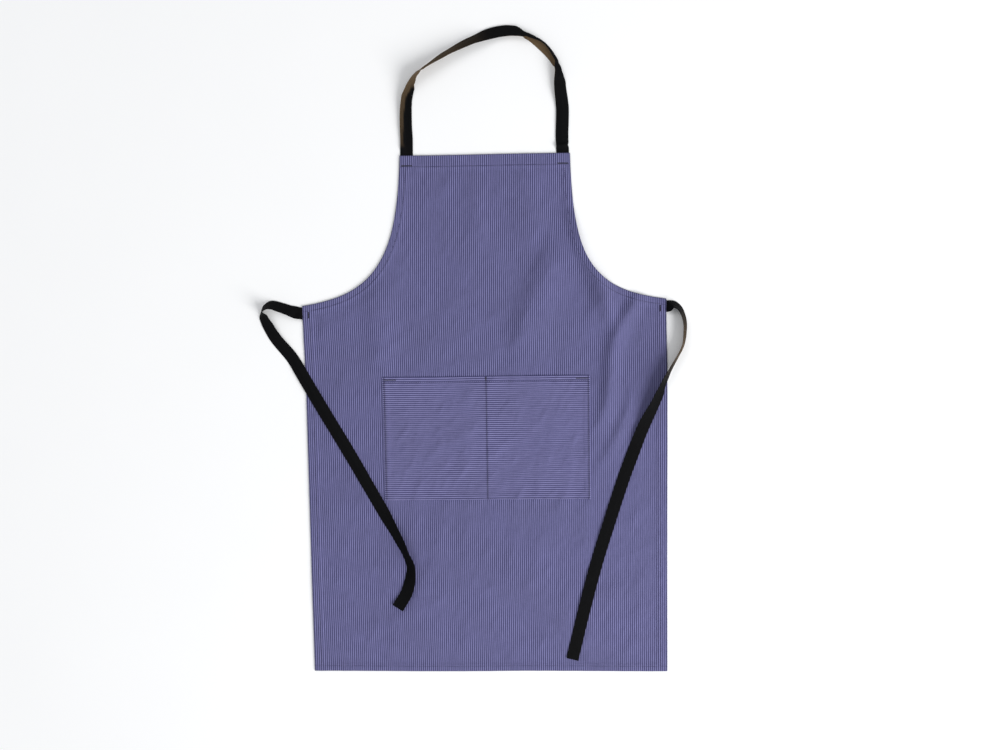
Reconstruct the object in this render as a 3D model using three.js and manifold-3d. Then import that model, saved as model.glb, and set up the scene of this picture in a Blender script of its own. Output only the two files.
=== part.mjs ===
// Bib apron laid out flat with its face up: one cloth panel with turned hems, a divided
// patch pocket, a neck strap, two waist ties, and the thread that sews them together.
//
// Millimetres. +X runs to the right across the apron, +Y runs up towards the neck and +Z
// points out of the face. The origin is the middle of the cloth, on the flat underside
// that lies on the table.

import * as THREE from 'three';
import { mergeVertices } from 'three/addons/utils/BufferGeometryUtils.js';
import Module from 'manifold-3d';

const wasm = await Module();
wasm.setup();

// ---- Driving dimensions -------------------------------------------------------------

// Cloth panel
const SKIRT_WIDTH = 600;
const SKIRT_LENGTH = 626;          // waist corners down to the bottom edge
const BIB_WIDTH = 274;             // along the top edge
const BIB_HEIGHT = 240;            // waist corners up to the top edge
const CLOTH_THICKNESS = 0.6;
const HEM_PLIES = 3;               // face cloth, turn-up and turned-in raw edge
const BIB_HEM = 20;
const SIDE_HEM = 14;
const BOTTOM_HEM = 11;
const ARMHOLE_HEM = 12;
const HEM_STITCH_MARGIN = 2;       // hem fold to its line of stitches

// Armhole: a curve that leaves the bib corner almost straight down and reaches the waist
// corner almost level. Each end has a pull length and a lean.
const ARMHOLE_BIB_PULL = 176;
const ARMHOLE_BIB_LEAN = THREE.MathUtils.degToRad(2);
const ARMHOLE_WAIST_PULL = 118;
const ARMHOLE_WAIST_LEAN = THREE.MathUtils.degToRad(7.7);
const ARMHOLE_SEGMENTS = 28;

// Patch pocket: one panel, sewn down at both sides, the bottom and the middle
const POCKET_WIDTH = 344;
const POCKET_DEPTH = 208;
const POCKET_DROP = 122;           // waist corners down to the pocket mouth
const POCKET_SEAM = 4;             // strip that lies flat along each sewn line
const POCKET_STITCH_INSET = 2;
const POCKET_MOUTH_STITCH = 9;
const POCKET_BULGE = 8;            // how far each compartment stands open at its mouth
const POCKET_TACK_LENGTH = 20;
const POCKET_TACK_DROP = 5;

// Tape of the neck strap and the waist ties
const TAPE_WIDTH = 20;
const TAPE_THICKNESS = 0.9;
const NECK_TAPE_INSET = 1.5;       // bib corner to the tape's outer edge
const NECK_FREE_START = 6;         // top edge to the place where the strap begins to fold
const LOOP_RISE = 195;             // bib top edge to the top of the laid-out neck loop
const TIE_DROP = 12;               // waist corner to the tie's middle
const TIE_FREE_START = 3;          // side edge to the place where the tie may turn
const TIE_TACK_INSET = 10;         // side edge to the stitches that hold the tie

// Thread
const THREAD_WIDTH = 0.5;
const THREAD_HEIGHT = 0.25;
const TACK_WIDTH = 0.8;            // back-and-forth reinforcing stitches
const NECK_TACK_RAISE = 1.5;       // above the bib hem's line of stitches

// Clearances
const SEAT_GAP = 0.3;              // tape to the hem that covers it, and tape over cloth
const SPLIT_GAP = 0.3;             // fixed stretch of a tape to its moving stretch
const THREAD_GAP = 1;              // end of one line of stitches to the next
const THREAD_LIFT = 0.15;          // stitches over the bowed pocket cloth

// ---- Sizes that follow --------------------------------------------------------------

const TOTAL_LENGTH = SKIRT_LENGTH + BIB_HEIGHT;
const TOP_Y = TOTAL_LENGTH / 2;
const BOTTOM_Y = -TOTAL_LENGTH / 2;
const WAIST_Y = TOP_Y - BIB_HEIGHT;
const HALF_SKIRT = SKIRT_WIDTH / 2;
const HALF_BIB = BIB_WIDTH / 2;
const HEM_THICKNESS = CLOTH_THICKNESS * HEM_PLIES;

const POCKET_MOUTH_Y = WAIST_Y - POCKET_DROP;
const POCKET_BOTTOM_Y = POCKET_MOUTH_Y - POCKET_DEPTH;
const HALF_POCKET = POCKET_WIDTH / 2;
const POCKET_TOP = CLOTH_THICKNESS * 2;

const NECK_X = HALF_BIB - NECK_TAPE_INSET - TAPE_WIDTH / 2;
const NECK_SEWN_IN = BIB_HEM - HEM_STITCH_MARGIN;
const TIE_Y = WAIST_Y - TIE_DROP;
const TIE_SEWN_IN = SIDE_HEM - HEM_STITCH_MARGIN;

const SIDE_STITCH_X = HALF_SKIRT - SIDE_HEM + HEM_STITCH_MARGIN;
const BOTTOM_STITCH_Y = BOTTOM_Y + BOTTOM_HEM - HEM_STITCH_MARGIN;
const BIB_STITCH_Y = TOP_Y - BIB_HEM + HEM_STITCH_MARGIN;
const ARMHOLE_STITCH = ARMHOLE_HEM - HEM_STITCH_MARGIN;

// ---- Laid-out tape routes -----------------------------------------------------------

// Neck loop: across as a share of the distance from the centre line to a strap base, up
// as a share of the loop's rise, and the bank in degrees. A flat tape has bank 0, and a
// tape that stands on its edge has bank 90, with the outer edge of the loop on top.
const NECK_LOOP = [
  [-1, 0.12, 0],
  [-1.01, 0.29, 12],
  [-0.98, 0.49, 42],
  [-0.885, 0.63, 66],
  [-0.755, 0.713, 78],
  [-0.49, 0.815, 84],
  [-0.16, 0.918, 100],
  [0.16, 0.985, 128],
  [0.42, 1, 138],
  [0.62, 0.972, 112],
  [0.81, 0.882, 68],
  [0.945, 0.76, 34],
  [1.01, 0.56, 10],
  [1.02, 0.35, 0],
  [1, 0.12, 0],
];

// Waist ties: out beyond the side edge, up from the tie's middle, and the bank in degrees
// (positive lifts the edge on the left of someone walking along the tape from its seam).
// The first stretch stays with the cloth. The second is the free tail, and both lists
// share the point where the tail folds back.
const LEFT_TIE_LOOP = [
  [10, 1, 15],
  [24, 5, 38],
  [40, 9, 42],
  [53, 11, 52],
  [63, 7, 66],
  [68, 0, 70],
  [66, -11, 45],
  [58, -28, 30],
  [48, -45, 24],
  [21, -79, 6],
  [-2, -119, 0],
  [-14, -140, 0],
];
const LEFT_TIE_TAIL = [
  [-26, -161, 0],
  [-63, -225, 0],
  [-120, -327, 8],
  [-150, -382, 45],
  [-163, -409, 70],
  [-171, -432, 55],
  [-164, -473, 20],
  [-147, -503, 8],
];
const RIGHT_TIE_LOOP = [
  [10, 3, -42],
  [20, -3, -62],
  [27, -21, -80],
  [27, -41, -78],
  [24, -61, -76],
  [16, -78, -82],
  [4, -99, -86],
  [-7, -122, -76],
  [-17, -148, -60],
  [-41, -199, -30],
  [-54, -233, 0],
  [-62, -255, 0],
];
const RIGHT_TIE_TAIL = [
  [-70, -277, 0],
  [-99, -367, 0],
  [-118, -431, 0],
  [-136, -500, 0],
  [-158, -593, 0],
];

const TAPE_STEP = 7;               // length of one facet along a tape
const REST_SAMPLES = 160;          // places along a tape where its support is looked up
const REST_ACROSS = 8;             // steps across a tape where its support is looked up
const REST_MARGIN = 2;             // the look-up reaches this far past the tape's edges
const REST_WINDOW = 3;             // samples either side that smooth the support

// ---- Materials ----------------------------------------------------------------------

function finish(color, roughness) {
  return new THREE.MeshStandardMaterial({ color, roughness, metalness: 0 });
}

const stripedCloth = finish(0x64638a, 0.9);
const pocketCloth = finish(0x6b6993, 0.9);
const blackTape = finish(0x141418, 0.75);
const navyThread = finish(0x2b2a55, 0.7);
const blackThread = finish(0x101014, 0.7);

// ---- Solid helpers ------------------------------------------------------------------

// A closed three.js geometry as a manifold solid.
function toSolid(geometry) {
  const bare = geometry.clone();
  bare.deleteAttribute('normal');
  bare.deleteAttribute('uv');
  const welded = mergeVertices(bare);
  return new wasm.Manifold(new wasm.Mesh({
    numProp: 3,
    vertProperties: new Float32Array(welded.attributes.position.array),
    triVerts: new Uint32Array(welded.index.array),
  }));
}

function toGeometry(solid) {
  const mesh = solid.getMesh();
  const geometry = new THREE.BufferGeometry();
  geometry.setAttribute('position', new THREE.BufferAttribute(mesh.vertProperties, 3));
  geometry.setIndex(new THREE.BufferAttribute(mesh.triVerts, 1));
  geometry.computeVertexNormals();
  return geometry;
}

// A plate cut to a shape, from one height to another.
function plate(shape, low, high) {
  const geometry = new THREE.ExtrudeGeometry(shape, {
    depth: high - low,
    bevelEnabled: false,
    curveSegments: ARMHOLE_SEGMENTS,
  });
  return geometry.translate(0, 0, low);
}

function box(x0, x1, y0, y1, z0, z1) {
  const geometry = new THREE.BoxGeometry(x1 - x0, y1 - y0, z1 - z0);
  return geometry.translate((x0 + x1) / 2, (y0 + y1) / 2, (z0 + z1) / 2);
}

// A box with a grid of columns and rows whose every corner is put in place by
// place(column, row, side); side is 0 underneath and 1 on top.
function shapedBox(columns, rows, place) {
  const geometry = new THREE.BoxGeometry(1, 1, 1, columns, rows, 1);
  const position = geometry.attributes.position;
  for (let i = 0; i < position.count; i += 1) {
    const column = Math.round((position.getX(i) + 0.5) * columns);
    const row = Math.round((position.getY(i) + 0.5) * rows);
    const side = position.getZ(i) > 0 ? 1 : 0;
    const corner = place(column, row, side);
    position.setXYZ(i, corner.x, corner.y, corner.z);
  }
  geometry.computeVertexNormals();
  return geometry;
}

// A thin layer over the given columns and rows, lying at bottomAt(x, y).
function layer(xs, ys, thickness, bottomAt) {
  return shapedBox(xs.length - 1, ys.length - 1, (column, row, side) => {
    const x = xs[column];
    const y = ys[row];
    return new THREE.Vector3(x, y, bottomAt(x, y) + side * thickness);
  });
}

function spread(from, to, count) {
  return Array.from({ length: count + 1 }, (_, i) => from + (to - from) * i / count);
}

function shapeFrom(points) {
  return new THREE.Shape(points.map(([x, y]) => new THREE.Vector2(x, y)));
}

// ---- Cloth panel --------------------------------------------------------------------

// The right-hand armhole, from the bib corner to the waist corner.
const armhole = new THREE.CubicBezierCurve(
  new THREE.Vector2(HALF_BIB, TOP_Y),
  new THREE.Vector2(
    HALF_BIB + ARMHOLE_BIB_PULL * Math.sin(ARMHOLE_BIB_LEAN),
    TOP_Y - ARMHOLE_BIB_PULL * Math.cos(ARMHOLE_BIB_LEAN),
  ),
  new THREE.Vector2(
    HALF_SKIRT - ARMHOLE_WAIST_PULL * Math.cos(ARMHOLE_WAIST_LEAN),
    WAIST_Y + ARMHOLE_WAIST_PULL * Math.sin(ARMHOLE_WAIST_LEAN),
  ),
  new THREE.Vector2(HALF_SKIRT, WAIST_Y),
);

// The armhole moved into the cloth by a distance.
function armholeInside(distance) {
  return spread(0, 1, ARMHOLE_SEGMENTS).map((t) => {
    const point = armhole.getPoint(t);
    const along = armhole.getTangent(t);
    return [point.x + along.y * distance, point.y - along.x * distance];
  });
}

function mirrored(points) {
  return points.map(([x, y]) => [-x, y]).reverse();
}

// The panel's outline with both armholes moved in by a distance.
function panelShape(armholeInset) {
  const right = armholeInside(armholeInset).reverse();
  const sideTop = right[0][1];
  return shapeFrom([
    [-HALF_SKIRT, BOTTOM_Y],
    [HALF_SKIRT, BOTTOM_Y],
    ...(armholeInset > 0 ? [[HALF_SKIRT, sideTop]] : []),
    ...right,
    ...mirrored(right),
    ...(armholeInset > 0 ? [[-HALF_SKIRT, sideTop]] : []),
  ]);
}

// The single-ply field is sunk between the hems, and a notch under the hem takes each
// sewn end of tape.
function bodyPanel() {
  const hemmed = toSolid(plate(panelShape(0), 0, HEM_THICKNESS));
  const aboveHem = HEM_THICKNESS * 2;
  const field = toSolid(plate(panelShape(ARMHOLE_HEM), CLOTH_THICKNESS, aboveHem)).intersect(
    toSolid(box(
      -HALF_SKIRT + SIDE_HEM,
      HALF_SKIRT - SIDE_HEM,
      BOTTOM_Y + BOTTOM_HEM,
      TOP_Y - BIB_HEM,
      0,
      aboveHem * 2,
    )),
  );
  const notchTop = TAPE_THICKNESS + SEAT_GAP;
  const notchHalf = TAPE_WIDTH / 2 + SEAT_GAP;
  const neckEnd = TOP_Y - NECK_SEWN_IN - SEAT_GAP;
  const tieEnd = HALF_SKIRT - TIE_SEWN_IN - SEAT_GAP;
  let panel = hemmed.subtract(field);
  for (const side of [-1, 1]) {
    const neckX = side * NECK_X;
    const tieX = [side * tieEnd, side * HALF_SKIRT * 2].sort((a, b) => a - b);
    panel = panel.subtract(toSolid(
      box(neckX - notchHalf, neckX + notchHalf, neckEnd, TOP_Y * 2, -notchTop, notchTop),
    ));
    panel = panel.subtract(toSolid(
      box(tieX[0], tieX[1], TIE_Y - notchHalf, TIE_Y + notchHalf, -notchTop, notchTop),
    ));
  }
  return toGeometry(panel);
}

// ---- Pocket -------------------------------------------------------------------------

const COMPARTMENT_CENTRE = HALF_POCKET / 2;
const COMPARTMENT_HALF = COMPARTMENT_CENTRE - POCKET_SEAM;
const POCKET_CLOSED_Y = POCKET_BOTTOM_Y + POCKET_SEAM;

// How far the pocket cloth stands off the panel: most at the middle of a compartment's
// mouth, and nothing along the sewn lines.
function pocketBulge(x, y) {
  const across = (Math.abs(x) - COMPARTMENT_CENTRE) / COMPARTMENT_HALF;
  const down = (POCKET_MOUTH_Y - y) / (POCKET_MOUTH_Y - POCKET_CLOSED_Y);
  if (Math.abs(across) >= 1 || down >= 1) {
    return 0;
  }
  return POCKET_BULGE * (1 - across ** 2) * (1 - down ** 3);
}

const POCKET_COLUMNS = [
  -HALF_POCKET,
  ...spread(-HALF_POCKET + POCKET_SEAM, -POCKET_SEAM, 10),
  ...spread(POCKET_SEAM, HALF_POCKET - POCKET_SEAM, 10),
  HALF_POCKET,
];

function pocketPanel() {
  const rows = [POCKET_BOTTOM_Y, ...spread(POCKET_CLOSED_Y, POCKET_MOUTH_Y, 10)];
  return layer(POCKET_COLUMNS, rows, CLOTH_THICKNESS,
    (x, y) => CLOTH_THICKNESS + pocketBulge(x, y));
}

// ---- Tapes --------------------------------------------------------------------------

// The top of what a tape lies on at a place: the table, a hem, the cloth or the pocket.
function supportUnder(x, y) {
  if (Math.abs(x) > HALF_SKIRT || y < BOTTOM_Y || y > WAIST_Y) {
    return 0;
  }
  const onHem = Math.abs(x) > HALF_SKIRT - SIDE_HEM || y < BOTTOM_Y + BOTTOM_HEM;
  const overPocket = Math.abs(x) < HALF_POCKET && y > POCKET_BOTTOM_Y && y < POCKET_MOUTH_Y;
  if (onHem) {
    return HEM_THICKNESS + THREAD_HEIGHT + SEAT_GAP;
  }
  if (overPocket) {
    return POCKET_TOP + pocketBulge(x, y) + THREAD_HEIGHT + SEAT_GAP;
  }
  return CLOTH_THICKNESS + SEAT_GAP;
}

// The level heading of a route at a parameter, as a unit vector to its left.
function leftOf(path, t) {
  const along = path.getTangent(t);
  return new THREE.Vector3(-along.y, along.x, 0).normalize();
}

// A route from stations [x, y, bank, laid]; laid is 0 where the tape runs under a hem
// and 1 where it lies on whatever is below it.
function tapeRoute(stations) {
  const path = new THREE.CatmullRomCurve3(
    stations.map(([x, y]) => new THREE.Vector3(x, y, 0)),
  );
  // Bank and laid ease from station to station without overshooting either.
  const easeAt = (t, item) => {
    const place = t * (stations.length - 1);
    const index = Math.min(Math.floor(place), stations.length - 2);
    const share = THREE.MathUtils.smoothstep(place - index, 0, 1);
    return THREE.MathUtils.lerp(stations[index][item], stations[index + 1][item], share);
  };
  const bankAt = (t) => THREE.MathUtils.degToRad(easeAt(t, 2));
  path.arcLengthDivisions = (stations.length - 1) * 50;
  const lengths = path.getLengths();
  const stationAt = (index) => lengths[index * 50];

  const reach = TAPE_WIDTH / 2 + REST_MARGIN;
  const widest = spread(0, 1, REST_SAMPLES).map((u) => {
    const t = path.getUtoTmapping(u);
    const centre = path.getPoint(t);
    const left = leftOf(path, t);
    const heights = spread(-reach, reach, REST_ACROSS).map((across) => supportUnder(
      centre.x + left.x * across,
      centre.y + left.y * across,
    ));
    return Math.max(...heights) * Math.round(easeAt(t, 3));
  });
  const near = (list, i) => list.slice(Math.max(0, i - REST_WINDOW), i + REST_WINDOW + 1);
  const raised = widest.map((_, i) => Math.max(...near(widest, i)));
  const rest = raised.map((_, i) => {
    const window = near(raised, i);
    return window.reduce((sum, height) => sum + height, 0) / window.length;
  });
  return { path, bankAt, rest, length: path.getLength(), stationAt };
}

function restAt(route, u) {
  const place = u * REST_SAMPLES;
  const index = Math.min(Math.floor(place), REST_SAMPLES - 1);
  return THREE.MathUtils.lerp(route.rest[index], route.rest[index + 1], place - index);
}

// The stretch of a tape between two lengths along its route.
function tape(route, from, to) {
  const steps = Math.max(2, Math.ceil((to - from) / TAPE_STEP));
  return shapedBox(steps, 1, (column, row, side) => {
    const u = Math.min((from + (to - from) * column / steps) / route.length, 1);
    const t = route.path.getUtoTmapping(u);
    const centre = route.path.getPoint(t);
    const left = leftOf(route.path, t);
    const bank = route.bankAt(t);
    const across = (row - 0.5) * TAPE_WIDTH;
    const through = (side - 0.5) * TAPE_THICKNESS;
    const level = across * Math.cos(bank) - through * Math.sin(bank);
    const height = across * Math.sin(bank) + through * Math.cos(bank);
    const middle = restAt(route, u) + Math.abs(Math.sin(bank)) * TAPE_WIDTH / 2
      + Math.abs(Math.cos(bank)) * TAPE_THICKNESS / 2;
    return new THREE.Vector3(
      centre.x + left.x * level,
      centre.y + left.y * level,
      middle + height,
    );
  });
}

const neckRoute = tapeRoute([
  [-NECK_X, TOP_Y - NECK_SEWN_IN, 0, 0],
  [-NECK_X, TOP_Y + NECK_FREE_START, 0, 0],
  ...NECK_LOOP.map(([across, up, bank]) => [across * NECK_X, TOP_Y + up * LOOP_RISE, bank, 1]),
  [NECK_X, TOP_Y + NECK_FREE_START, 0, 0],
  [NECK_X, TOP_Y - NECK_SEWN_IN, 0, 0],
]);
const NECK_LEFT_FOLD = neckRoute.stationAt(1);
const NECK_RIGHT_FOLD = neckRoute.stationAt(NECK_LOOP.length + 2);

function tieRoute(side, loop, tail) {
  const place = ([out, up, bank]) => [side * (HALF_SKIRT + out), TIE_Y + up, bank, 1];
  return tapeRoute([
    [side * (HALF_SKIRT - TIE_SEWN_IN), TIE_Y, 0, 0],
    [side * HALF_SKIRT, TIE_Y, 0, 0],
    [side * (HALF_SKIRT + TIE_FREE_START), TIE_Y, 0, 0],
    ...loop.map(place),
    ...tail.map(place),
  ]);
}

const leftTieRoute = tieRoute(-1, LEFT_TIE_LOOP, LEFT_TIE_TAIL);
const rightTieRoute = tieRoute(1, RIGHT_TIE_LOOP, RIGHT_TIE_TAIL);
const LEFT_TIE_FOLD = leftTieRoute.stationAt(LEFT_TIE_LOOP.length + 2);
const RIGHT_TIE_FOLD = rightTieRoute.stationAt(RIGHT_TIE_LOOP.length + 2);
const HALF_SPLIT = SPLIT_GAP / 2;

// ---- Thread -------------------------------------------------------------------------

// A straight line of stitches lying at a height.
function threadLine(x0, x1, y0, y1, height) {
  return box(x0, x1, y0, y1, height, height + THREAD_HEIGHT);
}

function threadAcross(x0, x1, y, width, height) {
  return threadLine(x0, x1, y - width / 2, y + width / 2, height);
}

function threadDown(x, y0, y1, width, height) {
  return threadLine(x - width / 2, x + width / 2, y0, y1, height);
}

// The line of stitches round an armhole, clear of the bib hem's line and the side edge.
function armholeThread(side) {
  const clear = ([x, y]) => y < BIB_STITCH_Y - THREAD_GAP && x < HALF_SKIRT - THREAD_GAP;
  const outer = armholeInside(ARMHOLE_STITCH - THREAD_WIDTH / 2).filter(clear);
  const inner = armholeInside(ARMHOLE_STITCH + THREAD_WIDTH / 2).filter(clear);
  const count = Math.min(outer.length, inner.length);
  const ring = [...outer.slice(-count), ...inner.slice(-count).reverse()];
  const points = side > 0 ? ring : ring.map(([x, y]) => [-x, y]).reverse();
  return plate(shapeFrom(points), HEM_THICKNESS, HEM_THICKNESS + THREAD_HEIGHT);
}

// The line of stitches round the pocket's two sides and bottom.
function pocketEdgeThread() {
  const top = POCKET_MOUTH_Y - THREAD_GAP;
  const outside = HALF_POCKET - POCKET_STITCH_INSET + THREAD_WIDTH / 2;
  const inside = outside - THREAD_WIDTH;
  const low = POCKET_BOTTOM_Y + POCKET_STITCH_INSET - THREAD_WIDTH / 2;
  const ring = [
    [-outside, top],
    [-outside, low],
    [outside, low],
    [outside, top],
    [inside, top],
    [inside, low + THREAD_WIDTH],
    [-inside, low + THREAD_WIDTH],
    [-inside, top],
  ];
  return plate(shapeFrom(ring), POCKET_TOP, POCKET_TOP + THREAD_HEIGHT);
}

// Stitches across the bowed cloth of the pocket.
function pocketStitches(xs, y, width) {
  return layer(xs, [y - width / 2, y + width / 2], THREAD_HEIGHT,
    (x) => POCKET_TOP + THREAD_LIFT + pocketBulge(x, y));
}

function pocketMouthThread() {
  const reach = HALF_POCKET - POCKET_STITCH_INSET - THREAD_GAP;
  const between = POCKET_COLUMNS.filter((x) => Math.abs(x) < reach - THREAD_GAP);
  return pocketStitches(
    [-reach, ...between, reach],
    POCKET_MOUTH_Y - POCKET_MOUTH_STITCH,
    THREAD_WIDTH,
  );
}

function pocketCornerTack(side) {
  const start = HALF_POCKET - POCKET_STITCH_INSET - THREAD_GAP;
  const ends = [side * start, side * (start - POCKET_TACK_LENGTH)].sort((a, b) => a - b);
  const columns = spread(ends[0], ends[1], 5);
  return pocketStitches(columns, POCKET_MOUTH_Y - POCKET_TACK_DROP, TACK_WIDTH);
}

function neckTack(side) {
  const half = TAPE_WIDTH / 2 - THREAD_GAP;
  const x = side * NECK_X;
  const y = BIB_STITCH_Y + NECK_TACK_RAISE;
  return threadAcross(x - half, x + half, y, TACK_WIDTH, HEM_THICKNESS);
}

function tieTack(side) {
  const x = side * (HALF_SKIRT - TIE_TACK_INSET);
  const low = TIE_Y - TAPE_WIDTH / 2 + THREAD_GAP;
  const high = WAIST_Y - ARMHOLE_STITCH;
  return threadDown(x, low, high, TACK_WIDTH, HEM_THICKNESS);
}

function sideHemThread(side) {
  const low = BOTTOM_STITCH_Y + THREAD_GAP;
  const high = WAIST_Y - ARMHOLE_STITCH;
  return threadDown(side * SIDE_STITCH_X, low, high, THREAD_WIDTH, HEM_THICKNESS);
}

// ---- Assembly -----------------------------------------------------------------------

const apron = new THREE.Group();

function add(name, geometry, material) {
  const mesh = new THREE.Mesh(geometry, material);
  mesh.name = name;
  apron.add(mesh);
}

add('body_panel', bodyPanel(), stripedCloth);
add('pocket_panel', pocketPanel(), pocketCloth);

add('neck_strap_left_sewn_end', tape(neckRoute, 0, NECK_LEFT_FOLD - HALF_SPLIT), blackTape);
add(
  'neck_strap',
  tape(neckRoute, NECK_LEFT_FOLD + HALF_SPLIT, NECK_RIGHT_FOLD - HALF_SPLIT),
  blackTape,
);
add(
  'neck_strap_right_sewn_end',
  tape(neckRoute, NECK_RIGHT_FOLD + HALF_SPLIT, neckRoute.length),
  blackTape,
);
add('left_tie_sewn_end', tape(leftTieRoute, 0, LEFT_TIE_FOLD - HALF_SPLIT), blackTape);
add('left_tie', tape(leftTieRoute, LEFT_TIE_FOLD + HALF_SPLIT, leftTieRoute.length), blackTape);
add('right_tie_sewn_end', tape(rightTieRoute, 0, RIGHT_TIE_FOLD - HALF_SPLIT), blackTape);
add('right_tie', tape(rightTieRoute, RIGHT_TIE_FOLD + HALF_SPLIT, rightTieRoute.length), blackTape);

const bibReach = HALF_BIB - THREAD_GAP;
const bottomReach = HALF_SKIRT - THREAD_GAP;
add(
  'bib_hem_thread',
  threadAcross(-bibReach, bibReach, BIB_STITCH_Y, THREAD_WIDTH, HEM_THICKNESS),
  navyThread,
);
add(
  'bottom_hem_thread',
  threadAcross(-bottomReach, bottomReach, BOTTOM_STITCH_Y, THREAD_WIDTH, HEM_THICKNESS),
  navyThread,
);
for (const [name, side] of [['left', -1], ['right', 1]]) {
  add(`${name}_side_hem_thread`, sideHemThread(side), navyThread);
  add(`${name}_armhole_hem_thread`, armholeThread(side), navyThread);
  add(`neck_strap_${name}_tack`, neckTack(side), blackThread);
  add(`${name}_tie_tack`, tieTack(side), blackThread);
  add(`pocket_${name}_corner_tack`, pocketCornerTack(side), blackThread);
}
add('pocket_mouth_thread', pocketMouthThread(), navyThread);
add('pocket_edge_thread', pocketEdgeThread(), navyThread);
add(
  'pocket_divider_thread',
  threadDown(
    0,
    POCKET_BOTTOM_Y + POCKET_STITCH_INSET + THREAD_GAP,
    POCKET_MOUTH_Y - POCKET_MOUTH_STITCH - THREAD_GAP,
    THREAD_WIDTH,
    POCKET_TOP,
  ),
  navyThread,
);
add(
  'pocket_divider_tack',
  threadDown(
    0,
    POCKET_MOUTH_Y - POCKET_MOUTH_STITCH + THREAD_GAP,
    POCKET_MOUTH_Y - THREAD_GAP,
    TACK_WIDTH,
    POCKET_TOP,
  ),
  blackThread,
);

export default apron;
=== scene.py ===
"""A striped bib apron laid out flat with its face up: hemmed cloth panel, divided patch
pocket, neck strap, two waist ties and every stitch that holds them.

Lengths in this file are millimetres unless a name or a property unit says otherwise.
"""

import math

import bmesh
import bpy
import numpy as np
from bpy.props import FloatProperty, FloatVectorProperty, PointerProperty
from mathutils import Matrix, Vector
from mathutils.geometry import delaunay_2d_cdt


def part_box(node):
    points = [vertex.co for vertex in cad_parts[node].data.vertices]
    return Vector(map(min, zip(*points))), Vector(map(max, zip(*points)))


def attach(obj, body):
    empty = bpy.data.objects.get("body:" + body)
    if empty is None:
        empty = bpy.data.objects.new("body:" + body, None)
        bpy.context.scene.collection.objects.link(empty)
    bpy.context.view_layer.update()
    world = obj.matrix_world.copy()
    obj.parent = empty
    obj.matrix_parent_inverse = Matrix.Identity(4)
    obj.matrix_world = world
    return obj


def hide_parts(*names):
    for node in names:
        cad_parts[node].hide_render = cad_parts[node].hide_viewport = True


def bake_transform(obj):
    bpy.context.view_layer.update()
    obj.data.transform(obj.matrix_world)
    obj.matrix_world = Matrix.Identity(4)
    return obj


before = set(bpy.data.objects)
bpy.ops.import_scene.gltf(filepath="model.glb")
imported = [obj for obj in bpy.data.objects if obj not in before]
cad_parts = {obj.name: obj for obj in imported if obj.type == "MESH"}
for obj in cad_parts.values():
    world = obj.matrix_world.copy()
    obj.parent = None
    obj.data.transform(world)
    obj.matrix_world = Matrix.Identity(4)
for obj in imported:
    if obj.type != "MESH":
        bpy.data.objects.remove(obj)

bl_info = {
    "name": "Bib Apron",
    "version": (1, 0, 0),
    "blender": (4, 5, 0),
    "location": "3D View > Sidebar > Apron",
    "description": "Sews a striped bib apron and lays it out flat",
    "category": "Add Mesh",
}

MM = 0.001

# ---- Sizes of the cut and sewn pieces -------------------------------------------------


def frame_box(node):
    """The lowest and highest corner of a frame node."""
    low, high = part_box(node)
    return np.array(low) / MM, np.array(high) / MM


PANEL_LOW, PANEL_HIGH = frame_box("body_panel")
POCKET_LOW, POCKET_HIGH = frame_box("pocket_panel")
HALF_SKIRT = PANEL_HIGH[0]
TOP_Y = PANEL_HIGH[1]
BOTTOM_Y = PANEL_LOW[1]
HALF_BIB = 137.0
WAIST_Y = TOP_Y - 240.0
PLY = 0.6
HEM_TURNS = 2
SIDE_HEM, BOTTOM_HEM, BIB_HEM, ARMHOLE_HEM = 14.0, 11.0, 20.0, 12.0
HEM_DEPTHS = np.array([SIDE_HEM, BOTTOM_HEM, BIB_HEM, ARMHOLE_HEM])
HEM_STITCH_MARGIN = 2.0
HEM_SLOPE = 4.5
FOLD_ROUNDING = 0.9
STITCH_DENT = 0.3
# How far a sewn-in tape end swells the hem's face, and lifts its underside.
TAPE_SWELL, TAPE_ROOM = 0.5, 1.05

ARMHOLE_BIB_PULL, ARMHOLE_BIB_LEAN = 176.0, math.radians(2.0)
ARMHOLE_WAIST_PULL, ARMHOLE_WAIST_LEAN = 118.0, math.radians(7.7)
ARMHOLE = np.array([
    (HALF_BIB, TOP_Y),
    (HALF_BIB + ARMHOLE_BIB_PULL * math.sin(ARMHOLE_BIB_LEAN),
     TOP_Y - ARMHOLE_BIB_PULL * math.cos(ARMHOLE_BIB_LEAN)),
    (HALF_SKIRT - ARMHOLE_WAIST_PULL * math.cos(ARMHOLE_WAIST_LEAN),
     WAIST_Y + ARMHOLE_WAIST_PULL * math.sin(ARMHOLE_WAIST_LEAN)),
    (HALF_SKIRT, WAIST_Y),
])

HALF_POCKET = POCKET_HIGH[0]
POCKET_MOUTH_Y = POCKET_HIGH[1]
POCKET_BOTTOM_Y = POCKET_LOW[1]
POCKET_SEAM = 4.0
POCKET_TURNING = 9.0
POCKET_MOUTH_HEM = 11.0
POCKET_MOUTH_STITCH = 9.0
POCKET_STITCH_INSET = 2.0
PRESSED_HEM = 0.35
POCKET_CLEARANCE = 0.08

TAPE_WIDTH = 20.0
TAPE_THICKNESS = 0.9
NECK_X = HALF_BIB - 1.5 - TAPE_WIDTH / 2
NECK_SEWN_IN = BIB_HEM - HEM_STITCH_MARGIN
LOOP_RISE = 195.0
TIE_Y = WAIST_Y - 12.0
TIE_SEWN_IN = SIDE_HEM - HEM_STITCH_MARGIN
TAPE_ROW_STEP, TAPE_COLUMNS = 1.7, 15
# A sewn end follows the cloth wholly up to the first length and not at all past the second.
HELD_REACH = (8, 85)
TAPE_CLEARANCE, TAPE_LIFT = 0.12, 0.35
# Tilts in degrees at which the painted sun brown, a painted highlight where the tape stands on
# edge, starts and is full.
PAINTED_SUN_TILTS = (5, 17)
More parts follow.
